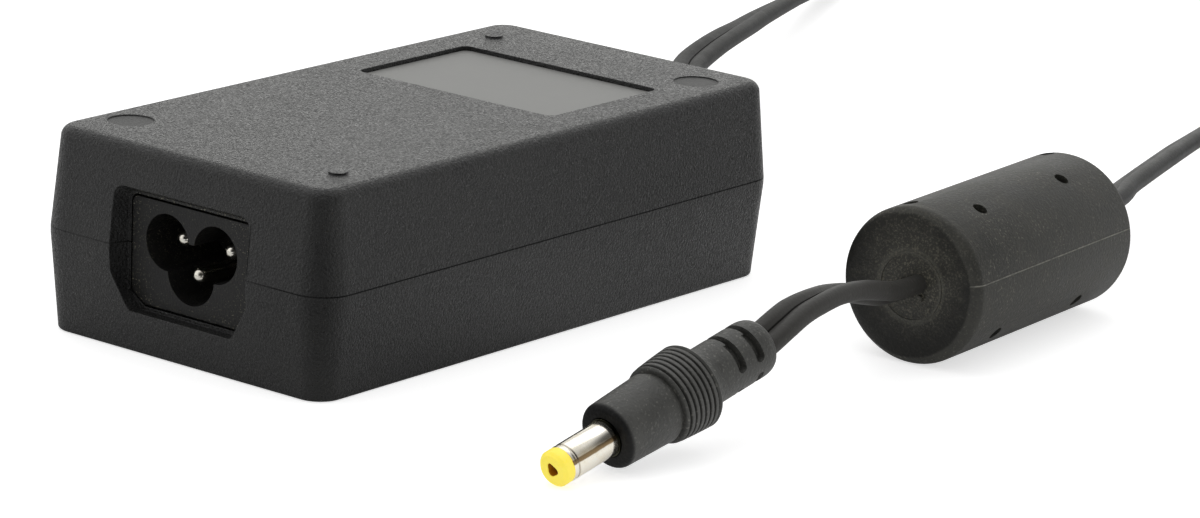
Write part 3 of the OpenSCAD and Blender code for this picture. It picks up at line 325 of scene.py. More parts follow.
def inlet_plastic():
    """Plastic of the mains inlet, with pale dust gathered along its rim, most of it at the top."""
    more = {"dust": 0.07, "dust_colour": (0.15, 0.14, 0.1), "ior": 1.42}
    look = grained("inlet_plastic", (0.007, 0.007, 0.007), (0.012, 0.0118, 0.011), 0.46, 2600, 0.02, **more)
    x, y, z = look.xyz()
    specks = look.ramp(look.noise(3600, 1, 0.4), 0.63, 0.72)
    rim = look.inverse(look.near(INLET_MIDDLE, 0.0105, 0.003))
    factor = look.times(specks, rim, look.ramp(z, 0.0228, 0.024, 0.45, 1.0))
    look.set(Base_Color=look.mix(factor, look.colour, (0.34, 0.32, 0.24)))
    return look.set(Normal=look.bump(look.fine, 0.12 * MM, 0.12)).material


def sleeve_rubber():
    """Dusty rubber with a mould seam along each side, paler in patches, brown dust on the front face, and
    painted shade on the face's flat.
    """
    dust = {"dust": 0.13, "dust_colour": (0.13, 0.126, 0.1)}
    look = rubber("sleeve_rubber", (0.02, 0.02, 0.016), (0.038, 0.037, 0.03), 0.55, 0.08, 2100, **dust)
    down, side, along = look.local(SLEEVE_FRONT, Vector((0, 0, -1)), SLEEVE_SIDE, SLEEVE_AXIS)
    far = look.radius(down, side)
    off = look.math("ABSOLUTE", look.beside(down, side, -100.5))
    off = look.math("ADD", off, look.times(look.noise(500, 2), 0.00012))
    seam = look.times(look.ramp(off, 0.00008, 0.00024, 1.0, 0.0), look.ramp(far, 0.0103, 0.0108))
    face = look.ramp(along, 0.0016, 0.003, 1.0, 0.0)
    # The flat of the face, off centre, is darkened with painted shade and has a pale ring
    uneven = look.times(look.noise(300, 3), 0.0008)
    rim = look.math("ADD", look.radius(down, look.math("SUBTRACT", side, 0.0009)), uneven)
    flat = look.times(face, look.ramp(rim, 0.0114, 0.0119, 1.0, 0.0))
    ring = look.times(flat, look.band(far, 0.0055, 0.0002, 0.0008))
    colour = look.mix(look.times(flat, 0.7), look.colour, (0.004, 0.004, 0.0035))
    colour = look.mix(look.times(ring, 0.45), colour, (0.12, 0.118, 0.1))
    # Dust lies thicker round the cord, as a film and as specks
    spread = look.math("ADD", look.times(look.noise(420, 3), 0.005), look.times(down, 0.25))
    thick = look.ramp(look.math("ADD", far, spread), 0.005, 0.0145, 1.0, 0.1)
    film = look.times(face, thick)
    colour = look.mix(look.times(film, 0.3), colour, (0.09, 0.086, 0.066))
    spots = look.ramp(look.noise(2900, 2, 0.7), 0.47, 0.72)
    colour = look.mix(look.times(film, spots), colour, (0.15, 0.14, 0.105))
    # The seam is paler, in patches
    seam_patches = look.ramp(look.noise(1500, 2), 0.3, 0.7, 0.45, 1.0)
    look.set(Base_Color=look.mix(look.times(seam, seam_patches), colour, (0.24, 0.236, 0.2)))
    # Painted shade on the flat, strongest near its rim and fading where the dust lies thick
    look.shade(look.times(flat, look.math("SUBTRACT", 0.42, look.times(thick, 0.4))))
    height = look.math("ADD", look.fine, look.times(seam, 1.5))
    return look.set(Normal=look.bump(height, 0.14 * MM)).material


def grommet_rubber():
    dust = {"dust": 0.05, "dust_colour": (0.2, 0.19, 0.15)}
    look = rubber("grommet_rubber", (0.018, 0.018, 0.018), (0.026, 0.026, 0.025), 0.5, 0.06, 1700, **dust)
    return look.material


def cord_jacket():
    """Satin jacket, with painted shade in the two grooves between its lobes and along the stretch by the
    case, and paler by the plug.
    """
    more = {"dust": 0.06, "dust_colour": (0.13, 0.127, 0.11), "ior": 1.34}
    look = rubber("cord_jacket", (0.02, 0.02, 0.019), (0.029, 0.029, 0.0275), 0.5, 0.05, 1900, **more)
    groove = look.add("ShaderNodeAttribute", attribute_name="groove").outputs["Fac"]
    share = look.add("ShaderNodeAttribute", attribute_name="share").outputs["Fac"]
    # Paler by the plug
    look.set(Base_Color=look.mix(look.ramp(share, 0.95, 0.97, 0.0, 0.5), look.colour, (0.062, 0.059, 0.053)))
    # Painted shade along the first stretch from the case and in the grooves between the lobes
    case_end_shade = look.ramp(share, 0.03, 0.16, 0.3, 0.0)
    look.shade(look.math("MAXIMUM", case_end_shade, look.ramp(groove, 0.1, 0.8, 0.0, 0.8)))
    return look.material


def plug_rubber():
    """Dusty rubber of the plug's moulding: lighter on the ribs' crests, with painted shade in the hollows
    between them and on the nose's flat face.
    """
    dust = {"dust": 0.13, "dust_colour": (0.22, 0.215, 0.19)}
    look = rubber("plug_rubber", (0.042, 0.042, 0.038), (0.066, 0.066, 0.06), 0.5, 0.14, 1900, **dust)
    down, side, along = look.local(PLUG_START, PLUG_DOWN, PLUG_SIDE, PLUG_AXIS)
    turn = look.math("SUBTRACT", along, (COLLAR_START + RIB_MARGIN) * MM)
    wave = look.math("COSINE", look.times(turn, 2 * math.pi / (RIB_PITCH * MM)))
    collar = look.times(look.ramp(along, 0.0211, 0.0215), look.ramp(along, 0.0271, 0.0276, 1.0, 0.0))
    crest = look.times(look.ramp(wave, -0.9, 0.2, 1.0, 0.0), collar)
    # Painted shade in the hollows between the ribs
    hollow = look.times(look.ramp(wave, 0.1, 0.9, 0.0, 0.5), collar)
    # Painted shade on the nose's flat face, as a dark colour and a mix to black
    face = look.ramp(along, 0.01025, 0.011, 1.0, 0.0)
    colour = look.mix(look.times(crest, 0.7), look.colour, (0.095, 0.094, 0.088))
    look.set(Base_Color=look.mix(face, colour, (0.006, 0.006, 0.006)))
    look.shade(look.math("MAXIMUM", look.times(face, 0.5), hollow))
    return look.material


def plug_metal():
    """Bright nickel with a cream tint, a painted brown reflection along one side, a darker ring of painted
    shade at a fine groove behind the tip, and painted shade where it meets the nose.
    """
    look = metal("barrel_nickel", (0.94, 0.9, 0.8), (0.86, 0.79, 0.62), 0.18)
    down, side, along = look.local(PLUG_START, PLUG_DOWN, PLUG_SIDE, PLUG_AXIS)
    # Painted reflection: a brown band along one side, with a paler brown edge round it
    uneven = look.times(look.math("SUBTRACT", look.noise(900, 3), 0.5), 0.0002)
    off = look.math("ADD", look.beside(down, side, 250), uneven)
    colour = look.mix(look.band(off, 0.0003, 0.0002, 0.0007, 0.4), look.colour, (0.62, 0.5, 0.3))
    colour = look.mix(look.band(off, 0.0, 0.00026, 0.00044, 0.95), colour, (0.27, 0.18, 0.085))
    # Painted shade of a fine groove behind the tip
    colour = look.mix(look.band(along, 0.0019, 0.0001, 0.0002, 0.5), colour, (0.3, 0.24, 0.17))
    # Painted shade where the barrel meets the nose
    root = look.ramp(along, 0.0095, 0.0098)
    look.shade(look.times(root, 0.45))
    return look.set(Base_Color=look.mix(root, colour, (0.11, 0.11, 0.08))).material


def tip_plastic():
    """Yellow plastic of the tip with a faint painted glow; the inside of its mouth is amber and has none."""
    look = grained("tip_plastic", (1.0, 0.8, 0.08), (1.0, 0.87, 0.12), 0.3, 1200, 0.006, wave=260)
    down, side, along = look.local(PLUG_START, PLUG_DOWN, PLUG_SIDE, PLUG_AXIS)
    far = look.radius(down, side)
    inside = look.times(look.ramp(far, 0.00135, 0.00145, 1.0, 0.0), look.ramp(along, -0.0009, -0.0008))
    look.set(Base_Color=look.mix(inside, look.colour, (0.5, 0.2, 0.005)))
    # Painted light: a faint glow over the tip, none inside the mouth
    glow = look.math("SUBTRACT", 0.33, look.times(inside, 0.33))
    look.set(Emission_Color=(1.0, 0.82, 0.1, 1.0), Emission_Strength=glow)
    look.set(Subsurface_Weight=0.1, Subsurface_Radius=(0.002, 0.0012, 0.0004), Subsurface_Scale=0.3)
    return look.material


def board_laminate():
    return simple("board_laminate", (0.01, 0.12, 0.05), (0.015, 0.18, 0.07), 0.35, 900, 0.01, wave=250)


MATERIALS = {
    "case_plastic": case_plastic(),
    "label_plastic": label_plastic(),
    "inlet_plastic": inlet_plastic(),
    "contact_nickel": metal("contact_nickel", (1.0, 0.97, 0.88), (0.85, 0.8, 0.68), 0.14).material,
    "board_laminate": board_laminate(),
    "insulator_film": simple("insulator_film", (0.62, 0.61, 0.5), (0.72, 0.7, 0.6), 0.4),
    "sink_aluminium": metal("sink_aluminium", (0.8, 0.8, 0.81), (0.66, 0.66, 0.68), 0.38).material,
    "fuse_ceramic": simple("fuse_ceramic", (0.7, 0.68, 0.6), (0.8, 0.78, 0.7), 0.35),
    "film_cap_plastic": simple("film_cap_plastic", (0.72, 0.5, 0.05), (0.82, 0.6, 0.08), 0.4),
    "soft_ferrite": simple("soft_ferrite", (0.03, 0.03, 0.032), (0.06, 0.06, 0.062), 0.6, depth=0.03),
    "winding_copper": metal("winding_copper", (0.72, 0.34, 0.16), (0.5, 0.2, 0.1), 0.3).material,
    "epoxy_black": simple("epoxy_black", (0.012, 0.012, 0.013), (0.02, 0.02, 0.021), 0.4),
    "cap_sleeve": simple("cap_sleeve", (0.008, 0.012, 0.06), (0.012, 0.02, 0.09), 0.25, depth=0.004),
    "bobbin_plastic": simple("bobbin_plastic", (0.55, 0.5, 0.4), (0.63, 0.58, 0.48), 0.45),
    "winding_tape": simple("winding_tape", (0.75, 0.6, 0.06), (0.85, 0.7, 0.1), 0.3, depth=0.006),
    "disc_ceramic": simple("disc_ceramic", (0.04, 0.14, 0.4), (0.06, 0.2, 0.5), 0.35),
    "wire_insulation": simple("wire_insulation", (0.5, 0.02, 0.02), (0.62, 0.03, 0.03), 0.35),
    "grommet_rubber": grommet_rubber(),
    "cord_jacket": cord_jacket(),
    "tie_fabric": simple("tie_fabric", (0.012, 0.012, 0.012), (0.03, 0.03, 0.03), 0.85, 2600, 0.12),
    "sleeve_rubber": sleeve_rubber(),
    "plug_rubber": plug_rubber(),
    "barrel_nickel": plug_metal(),
    "tip_plastic": tip_plastic(),
    "contact_bronze": metal("contact_bronze", (0.6, 0.4, 0.16), (0.42, 0.26, 0.1), 0.3).material,
}
NODE_SLOTS = {entry["node"]: entry["material_slot"] for entry in frame["record"]["subparts"]}

# ---- Mesh tools ----


def piece(name, verts, faces, slot, smooth=True):
    mesh = bpy.data.meshes.new(name)
    mesh.from_pydata([tuple(v) for v in verts], [], faces)
    mesh.validate()
    mesh.update()
    obj = bpy.data.objects.new(name, mesh)
    bpy.context.scene.collection.objects.link(obj)
    for polygon in mesh.polygons:
        polygon.use_smooth = smooth
    if slot:
        mesh.materials.append(MATERIALS[slot])
    return obj


def lathe(name, profile, matrix, slot, steps=128):
    """Body of revolution about the local z axis from [radius, height] points in mm."""
    verts, rows = [], []
    for radius, height in profile:
        if radius < 1e-6:
            rows.append([len(verts)])
            verts.append(matrix @ Vector((0, 0, height * MM)))
            continue
        rows.append(list(range(len(verts), len(verts) + steps)))
        for i in range(steps):
            angle = 2 * math.pi * i / steps
            x, y = radius * math.cos(angle) * MM, radius * math.sin(angle) * MM
            verts.append(matrix @ Vector((x, y, height * MM)))
    faces = []
    for low, high in zip(rows, rows[1:]):
        for i in range(steps):
            j = (i + 1) % steps
            if len(low) == 1:
                faces.append((low[0], high[j], high[i]))
            elif len(high) == 1:
                faces.append((low[i], low[j], high[0]))
            else:
                faces.append((low[i], low[j], high[j], high[i]))
    return piece(name, verts, faces, slot)


def tube(name, points, wides, section, slot):
    """Closed tube: section points are (along wide, along thin) in metres."""
    verts, count = [], len(section)
    for i, (point, wide) in enumerate(zip(points, wides)):
        ahead = (points[min(i + 1, len(points) - 1)] - points[max(i - 1, 0)]).normalized()
        wide = (wide - ahead * wide.dot(ahead)).normalized()
        thin = ahead.cross(wide)
        verts += [point + wide * a + thin * b for a, b in section]
    faces = []
    for i in range(len(points) - 1):
        for k in range(count):
            a, b = i * count + k, i * count + (k + 1) % count
            faces.append((a, b, b + count, a + count))
    first, last = len(verts), len(verts) + 1
    verts += [points[0], points[-1]]
    end = (len(points) - 1) * count
    for k in range(count):
        following = (k + 1) % count
        faces.append((first, following, k))
        faces.append((last, end + k, end + following))
    return piece(name, verts, faces, slot)


def carve(obj, cutters):
    """Cuts the cutters out of obj and removes them."""
    for cutter in cutters:
        modifier = obj.modifiers.new("cut", "BOOLEAN")
        modifier.operation = "DIFFERENCE"
        modifier.solver = "EXACT"
        modifier.object = cutter
    bpy.context.view_layer.update()
    mesh = bpy.data.meshes.new_from_object(obj.evaluated_get(bpy.context.evaluated_depsgraph_get()))
    obj.modifiers.clear()
    old, obj.data = obj.data, mesh
    bpy.data.meshes.remove(old)
    for cutter in cutters:
        bpy.data.objects.remove(cutter, do_unlink=True)
    return obj


def crease(obj, angle=35):
    """Splits the shading where faces meet at more than the angle."""
    split = obj.modifiers.new("split", "EDGE_SPLIT")
    split.split_angle = math.radians(angle)


def finish_node(name):
    """A CAD node's mesh with its material, welded and smoothed by modifiers."""
    obj = NODES[name]
    mesh = obj.data
    mesh.materials.clear()
    mesh.materials.append(MATERIALS[NODE_SLOTS[name]])
    # The file's own sharp edges and normals would undo the smoothing
    for extra in ("custom_normal", "sharp_edge", "sharp_face"):
        if extra in mesh.attributes:
            mesh.attributes.remove(mesh.attributes[extra])
    for polygon in mesh.polygons:
        polygon.use_smooth = True
    weld = obj.modifiers.new("weld", "WELD")
    weld.merge_threshold = 0.000002
    crease(obj)


def dress(obj, slot, *replaced):
    """Hides the CAD nodes that the piece replaces and hangs the piece on the root body; slot is not used."""
    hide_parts(*replaced)
    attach(obj, "root")
    return obj


# ---- The output lead, in mm ----

CORD_NODES = ("cord_brick_run", "cord_coil", "cord_ferrite_run", "cord_core_run", "cord_plug_run")
EXIT = Vector((0, 54.3, 16.3))
BOOT_LEAN = 30
BOOT_LENGTH = 20
BOOT_RADIUS = BOOT_LENGTH / math.radians(BOOT_LEAN)
COIL = Vector((45.5, 262, 0))
COIL_RADIUS = 35.5
COIL_PITCH = 3.6
COIL_LAYER = 6.6
COIL_HEIGHT = 3.8
COIL_TAIL = 6.5
COIL_TURNS = 3
COIL_STEPS = 24
SLEEVE_LENGTH = 48

# Each point is (x, y, z, roll of the section in degrees)
BRICK_ROUTE = [
    (-10.1, 81, 16.2, -14), (-15.8, 88.5, 16, -14), (-21.4, 95.5, 15.7, -12), (-26.7, 102.2, 15.4, -9),
    (-31.4, 109.3, 15, -8), (-39.4, 124.6, 13.9, -3), (-46.9, 139.9, 12.5, 4), (-53.5, 153.5, 11, 12),
    (-60, 166.7, 9.6, 19), (-66.8, 181.2, 8.1, 26), (-73.6, 195.7, 6.5, 32), (-80, 209.5, 5, 34),
    (-86, 223, 3.7, 38), (-90.5, 236, 2.9, 44), (-92.5, 249, 2.8, 50), (-91, 262, 2.8, 58),
    (-86, 274, 2.9, 66), (-77.5, 283.5, 3, 74), (-66, 290, 3, 80), (-53, 293.5, 3.2, 85),
    (-41, 295, 3.9, 88), (-28.5, 295.3, 5.1, 90), (-16, 294.3, 6.8, 90), (-4.2, 290.3, 8.6, 90),
    (5.3, 281.8, 9.9, 90),
]
FERRITE_ROUTE = [
    (70.2, 83.5, 12.4, 28), (68.4, 90.5, 12.3, 30), (66.4, 97, 12.1, 31), (63.7, 103.2, 11.9, 32),
    (59.4, 115, 11.2, 32), (54.3, 129, 10.2, 32), (48.8, 143.9, 9, 32), (43.1, 159.7, 7.6, 35),
    (37.7, 174.2, 6.4, 42), (32, 189, 5.4, 50), (26.5, 203.6, 4.7, 60), (21.2, 218, 4.2, 70),
    (16.4, 231.2, 3.9, 80), (12.4, 243.8, 3.8, 88),
]
PLUG_ROUTE = [
    (79.3, -10.6, 15.1, -15), (78.8, -6.5, 16, -8), (78.4, -2, 16.4, 0), (77.8, 2.7, 16.4, 8),
    (77.2, 7.4, 15.9, 14), (76.5, 12, 15, 19), (76, 16.6, 13.8, 23), (75.5, 20.8, 12.8, 26),
]


def rolled(points):
    """(position, wide direction) for (x, y, z, roll) points: roll turns the section about the cord."""
    places = [Vector(p[:3]) for p in points]
    found = []
    for i, point in enumerate(points):
        ahead = (places[min(i + 1, len(places) - 1)] - places[max(i - 1, 0)]).normalized()
        side = ahead.cross(Vector((0, 0, 1))).normalized()
        up = side.cross(ahead)
        roll = math.radians(point[3])
        found.append((places[i], side * math.cos(roll) + up * math.sin(roll)))
    return found


def smooth_step(t):
    t = min(1, max(0, t))
    return t * t * (3 - 2 * t)


def boot_route():
    found = []
    for i in range(9):
        a = math.radians(BOOT_LEAN * i / 8)
        found.append((-BOOT_RADIUS * (1 - math.cos(a)), EXIT.y + BOOT_RADIUS * math.sin(a), EXIT.z, 0))
    return found


def coil_route():
    """The put-away turns: in, up one layer and out again."""
    half = COIL_TURNS * COIL_STEPS
    found = [(COIL.x - COIL_RADIUS, COIL.y - COIL_TAIL, COIL_HEIGHT, 90)]
    for i in range(2 * half + 1):
        radius = COIL_RADIUS - COIL_PITCH * (half - abs(i - half)) / COIL_STEPS
        a = math.radians(180 - 360 * i / COIL_STEPS)
        z = COIL_HEIGHT + COIL_LAYER * smooth_step((i - half) / (COIL_STEPS / 2) + 0.5)
        found.append((COIL.x + radius * math.cos(a), COIL.y + radius * math.sin(a), z, 90))
    found.append((COIL.x - COIL_RADIUS, COIL.y + COIL_TAIL, COIL_HEIGHT + COIL_LAYER, 90))
    return found


def lead_route():
    """The whole lead, from the case to the plug, as (position, wide direction)."""
    front = SLEEVE_FRONT / MM
    back = front + SLEEVE_AXIS * SLEEVE_LENGTH
    end = PLUG_START / MM + PLUG_AXIS * PLUG_LENGTH
    inside = PLUG_START / MM + PLUG_AXIS * (PLUG_LENGTH - 4)
    coil = coil_route()
    to_coil = rolled(boot_route() + BRICK_ROUTE + [coil[-1]])
    from_coil = rolled([(*back, 27)] + FERRITE_ROUTE + [coil[0]])
    core = rolled([(*(front + SLEEVE_AXIS * s), 27) for s in (8, 16, 24, 32, 40)])
    to_plug = rolled([(*inside, -24), (*end, -20)] + PLUG_ROUTE + [(*front, 27)])
    route = to_coil[:-1] + rolled(coil)[::-1] + from_coil[::-1][1:] + core[::-1] + to_plug[::-1]
    for i in range(1, len(route)):
        if route[i][1].dot(route[i - 1][1]) < 0:
            route[i] = (route[i][0], -route[i][1])
    return route


def resample(route, step):
    """Even points on a smooth curve through the route's points."""
    points, wides = [], []
    for i in range(len(route) - 1):
        p1, p2 = route[i][0], route[i + 1][0]
        p0 = route[i - 1][0] if i else p1 * 2 - p2
        p3 = route[i + 2][0] if i + 2 < len(route) else p2 * 2 - p1
        t = [0.0]
        for a, b in ((p0, p1), (p1, p2), (p2, p3)):
            t.append(t[-1] + max(1e-6, (b - a).length) ** 0.5)
        count = max(1, round((p2 - p1).length / step))
        for k in range(count):
            u = t[1] + (t[2] - t[1]) * k / count
            a1 = p0 * ((t[1] - u) / (t[1] - t[0])) + p1 * ((u - t[0]) / (t[1] - t[0]))
            a2 = p1 * ((t[2] - u) / (t[2] - t[1])) + p2 * ((u - t[1]) / (t[2] - t[1]))
            a3 = p2 * ((t[3] - u) / (t[3] - t[2])) + p3 * ((u - t[2]) / (t[3] - t[2]))
            b1 = a1 * ((t[2] - u) / (t[2] - t[0])) + a2 * ((u - t[0]) / (t[2] - t[0]))
            b2 = a2 * ((t[3] - u) / (t[3] - t[1])) + a3 * ((u - t[1]) / (t[3] - t[1]))
            points.append(b1 * ((t[2] - u) / (t[2] - t[1])) + b2 * ((u - t[1]) / (t[2] - t[1])))
            wides.append(route[i][1].lerp(route[i + 1][1], k / count))
    points.append(route[-1][0])
    wides.append(route[-1][1])
    return [p * MM for p in points], wides


def twin_section():
    """Two round lobes and the narrow grooves between them, in metres."""
    lobe, offset, waist = 1.5, 1.45, 0.82
    angles = [math.radians(a) for a in range(-140, 141, 20)]
    right = [(offset + lobe * math.cos(a), lobe * math.sin(a)) for a in angles]
    left = [(-x, -y) for x, y in right]
    section = right + [(0, waist)] + left + [(0, -waist)]
    return [(x * MM, y * MM) for x, y in section]


def make_lead():
    points, wides = resample(lead_route(), 1.6)
    section = twin_section()
    lead = tube("output_lead", points, wides, section, "cord_jacket")
    # The jacket's material reads where the grooves are, for their painted shade, and the share of the length
    # gone by
    groove = lead.data.attributes.new("groove", "FLOAT", "POINT")
    share = lead.data.attributes.new("share", "FLOAT", "POINT")
    for i in range(len(points) * len(section)):
        groove.data[i].value = 1.0 if abs(section[i % len(section)][0]) < 1e-6 else 0.0
        share.data[i].value = i // len(section) / len(points)
    crease(lead, 50)
    return dress(lead, "cord_jacket", *CORD_NODES), points


def make_boot():
    """Ribbed boot along the first stretch of the lead."""
    steps, around = 120, 64
    wide_end, narrow_end = 4.8, 3.7
    first_rib, last_rib, rib_pitch, rib_depth = 3, 18.5, 2.2, 0.45
    up = Vector((0, 0, 1))
    verts, faces = [], []
    for i in range(steps + 1):
        t = i / steps
        a = math.radians(BOOT_LEAN * t)
        centre = Vector((-BOOT_RADIUS * (1 - math.cos(a)), EXIT.y + BOOT_RADIUS * math.sin(a), EXIT.z))
        side = Vector((math.cos(a), math.sin(a), 0))
        s = t * BOOT_LENGTH
        radius = wide_end - (wide_end - narrow_end) * t
        if first_rib < s < last_rib:
            wave = 0.5 - 0.5 * math.cos(2 * math.pi * (s - first_rib) / rib_pitch)
            radius -= rib_depth * smooth_step(wave * 2.2 - 0.8)
        # Rounded end
        radius -= 0.7 * smooth_step(s - (BOOT_LENGTH - 1))
        for k in range(around):
            b = 2 * math.pi * k / around
            verts.append((centre + side * radius * math.cos(b) + up * radius * math.sin(b)) * MM)
    for i in range(steps):
        for k in range(around):
            a, b = i * around + k, i * around + (k + 1) % around
            faces.append((a, a + around, b + around, b))
    faces.append(tuple(range(around)))
    faces.append(tuple(range(steps * around, (steps + 1) * around))[::-1])
    boot = piece("bend_boot", verts, faces, "grommet_rubber")
    crease(boot, 50)
    return dress(boot, "grommet_rubber", "cord_boot")


# Flat section with bevelled edges, as shares of half the width and of the thickness
STRAP_SECTION = (
    (-1, -0.25), (-0.96, -0.5), (0.96, -0.5), (1, -0.25),
    (1, 0.25), (0.96, 0.5), (-0.96, 0.5), (-1, 0.25),
)


def make_strap():
    """Hook-and-loop strap round the coil, its end laid over itself."""
    thick, width, play = 0.8, 8.0, 0.3
    least = COIL_RADIUS - COIL_PITCH * (COIL_TURNS - 0.5) - 1.5
    inner = least - 2 * play - width * width / 8 / least
    outer = COIL_RADIUS - COIL_PITCH / 2 + 1.5 + play
    height = COIL_LAYER + 5.9 + 0.1 + play
    middle = COIL.x + (inner + outer) / 2
    half_x, half_z = (outer - inner) / 2, height / 2
    path = []
    corner = thick * 1.5
    for cx, cz, start in ((1, 1, 0), (-1, 1, 90), (-1, -1, 180), (1, -1, 270)):
        for k in range(7):
            a = math.radians(start + 15 * k)
            x = cx * (half_x + thick / 2 - corner) + corner * math.cos(a)
            path.append((x, cz * (half_z + thick / 2 - corner) + corner * math.sin(a)))
    # From the top, down both sides and back over the top as a second layer
    first, second = half_z + thick / 2, half_z + thick * 1.6
    loop = [(2.0, first)] + path[7:] + path[:7] + [(4.0, first), (2.6, second), (-4.5, second)]
    verts, faces = [], []
    for i, (x, z) in enumerate(loop):
        before, after = loop[max(i - 1, 0)], loop[min(i + 1, len(loop) - 1)]
        ahead = Vector((after[0] - before[0], 0, after[1] - before[1])).normalized()
        normal = Vector((-ahead.z, 0, ahead.x))
        centre = Vector((middle + x, COIL.y, thick + height / 2 + z))
        for y, n in STRAP_SECTION:
            verts.append((centre + Vector((0, y * width / 2, 0)) + normal * n * thick * 0.94) * MM)
    count = len(STRAP_SECTION)
    for i in range(len(loop) - 1):
        for k in range(count):
            a, b = i * count + k, i * count + (k + 1) % count
            faces.append((a, b, b + count, a + count))
    faces.append(tuple(range(count))[::-1])
    faces.append(tuple(range((len(loop) - 1) * count, len(loop) * count)))
    strap = piece("coil_strap", verts, faces, "tie_fabric")
    crease(strap, 40)
    return dress(strap, "tie_fabric", "coil_tie")


# ---- The plug ----

PLUG_MATRIX = Matrix((PLUG_DOWN, PLUG_SIDE, PLUG_AXIS)).transposed().to_4x4()
PLUG_MATRIX.translation = PLUG_START


def ring_cutter(s0, s1, inner, outer, start, end, steps=28):
    """Part of a ring about the plug's axis, with one square and one rounded end."""
    verts, faces = [], []
    for i in range(steps + 1):
        t = i / steps
        a = math.radians(start + (end - start) * t)
        half = (s1 - s0) / 2
        left = (end - start) * (1 - t) * math.pi / 180 * (inner + outer) / 2
        if 0 <= left < half:
            half = math.sqrt(max(0.02, half * half - (half - left) ** 2))
        middle = (s0 + s1) / 2
        front, back = middle - half, middle + half
        for radius, s in ((inner, front), (outer, front), (outer, back), (inner, back)):
            verts.append(PLUG_MATRIX @ (Vector((radius * math.cos(a), radius * math.sin(a), s)) * MM))
    for i in range(steps):
        for k in range(4):
            a, b = i * 4 + k, i * 4 + (k + 1) % 4
            faces.append((a, a + 4, b + 4, b))
    faces.append((0, 1, 2, 3))
    faces.append(tuple(range(4 * steps, 4 * steps + 4))[::-1])
    cutter = piece("cutter", verts, faces, None)
    cleaned = bmesh.new()
    cleaned.from_mesh(cutter.data)
    bmesh.ops.recalc_face_normals(cleaned, faces=cleaned.faces)
    cleaned.to_mesh(cutter.data)
    cleaned.free()
    return cutter


def collar_radius(t):
    """Radius over the collar's length, from 0 at its front to 1 at its back."""
    return 6.5 - 0.5 * (1 - t) ** 1.3


def plug_profile():
    """[radius, distance along the plug] of the moulding: its bore, then the nose to the relief's dome."""
    nose_r, edge, relief, corner, groove_depth = 5.05, 1.0, 4.45, 0.4, 0.42
    profile = [[0, 25.0], [1.2, 25.0], [1.2, 22.0], [2.97, 22.0], [2.97, NOSE + 0.12], [3.1, NOSE]]
    for a in range(0, 91, 10):
        turn = math.radians(a)
        profile.append([nose_r - edge + edge * math.sin(turn), NOSE + edge - edge * math.cos(turn)])
    # A step in front of the collar
    for radius, ahead in ((5.4, 0.85), (5.32, 0.68), (5.12, 0.58), (5.1, 0.03)):
        profile.append([radius, COLLAR_START - ahead])
    front = collar_radius(0)
    for a in range(0, 91, 15):
        turn = math.radians(a)
        s = COLLAR_START + corner - corner * math.cos(turn)
        profile.append([front - corner + corner * math.sin(turn), s])
    for i in range(RIBS * 10 + 1):
        s = RIB_MARGIN + RIB_PITCH * i / 10
        groove = max(0, math.cos(2 * math.pi * i / 10)) ** 2
        radius = collar_radius(s / (COLLAR_END - COLLAR_START)) - groove_depth * groove
        profile.append([radius, COLLAR_START + s])
    crown = collar_radius(1)
    profile += [[crown, COLLAR_END - 0.3], [crown - 0.15, COLLAR_END], [crown - 0.5, COLLAR_END + 0.12]]
    # A hollow fillet down to the relief, and the relief's domed end
    flare, flare_length, dome, dome_length = crown - 0.5 - relief, 3.2, 0.8, 2.2
    for a in range(15, 91, 15):
        turn = math.radians(a)
        radius = relief + flare * (1 - math.sin(turn))
        profile.append([radius, COLLAR_END + 0.12 + flare_length * (1 - math.cos(turn))])
    profile += [[relief, PLUG_LENGTH - dome_length]]
    for a in range(15, 91, 15):
        turn = math.radians(a)
        s = PLUG_LENGTH - dome_length + dome_length * math.sin(turn)
        profile.append([relief - dome + dome * math.cos(turn), s])
    profile += [[0, PLUG_LENGTH]]
    return profile


def make_plug():
    body = lathe("plug_moulding", plug_profile(), PLUG_MATRIX, "plug_rubber", 160)
    cutters = []
    # Upper slots, wide at each side and thinner over the top
    for s in (34.5, 38.35):
        for front, start, end in ((0.85, 203, 268), (0.3, 206, 130), (0.85, 133, 84)):
            cutters.append(ring_cutter(s - front, s + 0.8, 3.15, 6, start, end))
    # Lower slots, under them
    for s, reach in ((34.5, 52), (38.35, 68)):
        for start, end in ((-1, reach), (1, -reach)):
            cutters.append(ring_cutter(s - 0.6, s + 0.6, 3.3, 6, start, end))
    carve(body, cutters)
    crease(body, 38)
    return dress(body, "plug_rubber", "plug_body")


def make_tip():
    """Yellow tip with a bevelled front and a small three-lobed mouth."""
    r, bevel, mouth, front, mouth_end, rear = 2.72, 0.5, 0.95, -1.0, 0.6, 0.85
    profile = [[0, mouth_end], [mouth, mouth_end], [mouth, front + 0.12], [mouth + 0.08, front]]
    profile += [[r - bevel, front], [r - 0.09, front + bevel - 0.09], [r, front + bevel + 0.06]]
    profile += [[r, rear], [2.4, rear], [2.4, 1.3], [0, 1.3]]
    tip = lathe("tip_ring", profile, PLUG_MATRIX, "tip_plastic", 96)
    back = PLUG_MATRIX.inverted()
    for vertex in tip.data.vertices:
        local = back @ vertex.co
        if local.xy.length < 1.1 * MM:
            lobes = 1 + 0.13 * math.sin(3 * math.atan2(local.y, local.x))
            vertex.co = PLUG_MATRIX @ Vector((local.x * lobes, local.y * lobes, local.z))
    crease(tip, 38)
    return dress(tip, "tip_plastic", "plug_tip")


# ---- Stage and light ----

AMBIENT = 0.95
AMBIENT_FRONT = 0.6
FLOOR_WHITE = 0.8
FLOOR_SEEN = 0.62
# (direction, angle within which it is dark, angle where white begins, level)
DARK_SIDES = [
    ((0.695, 0.442, 0.568), 12, 30, 0.12),
    ((0.599, -0.755, 0.35), 22, 52, 0.05),
    ((0.62, -0.78, 0), 16, 42, 0.08),
]


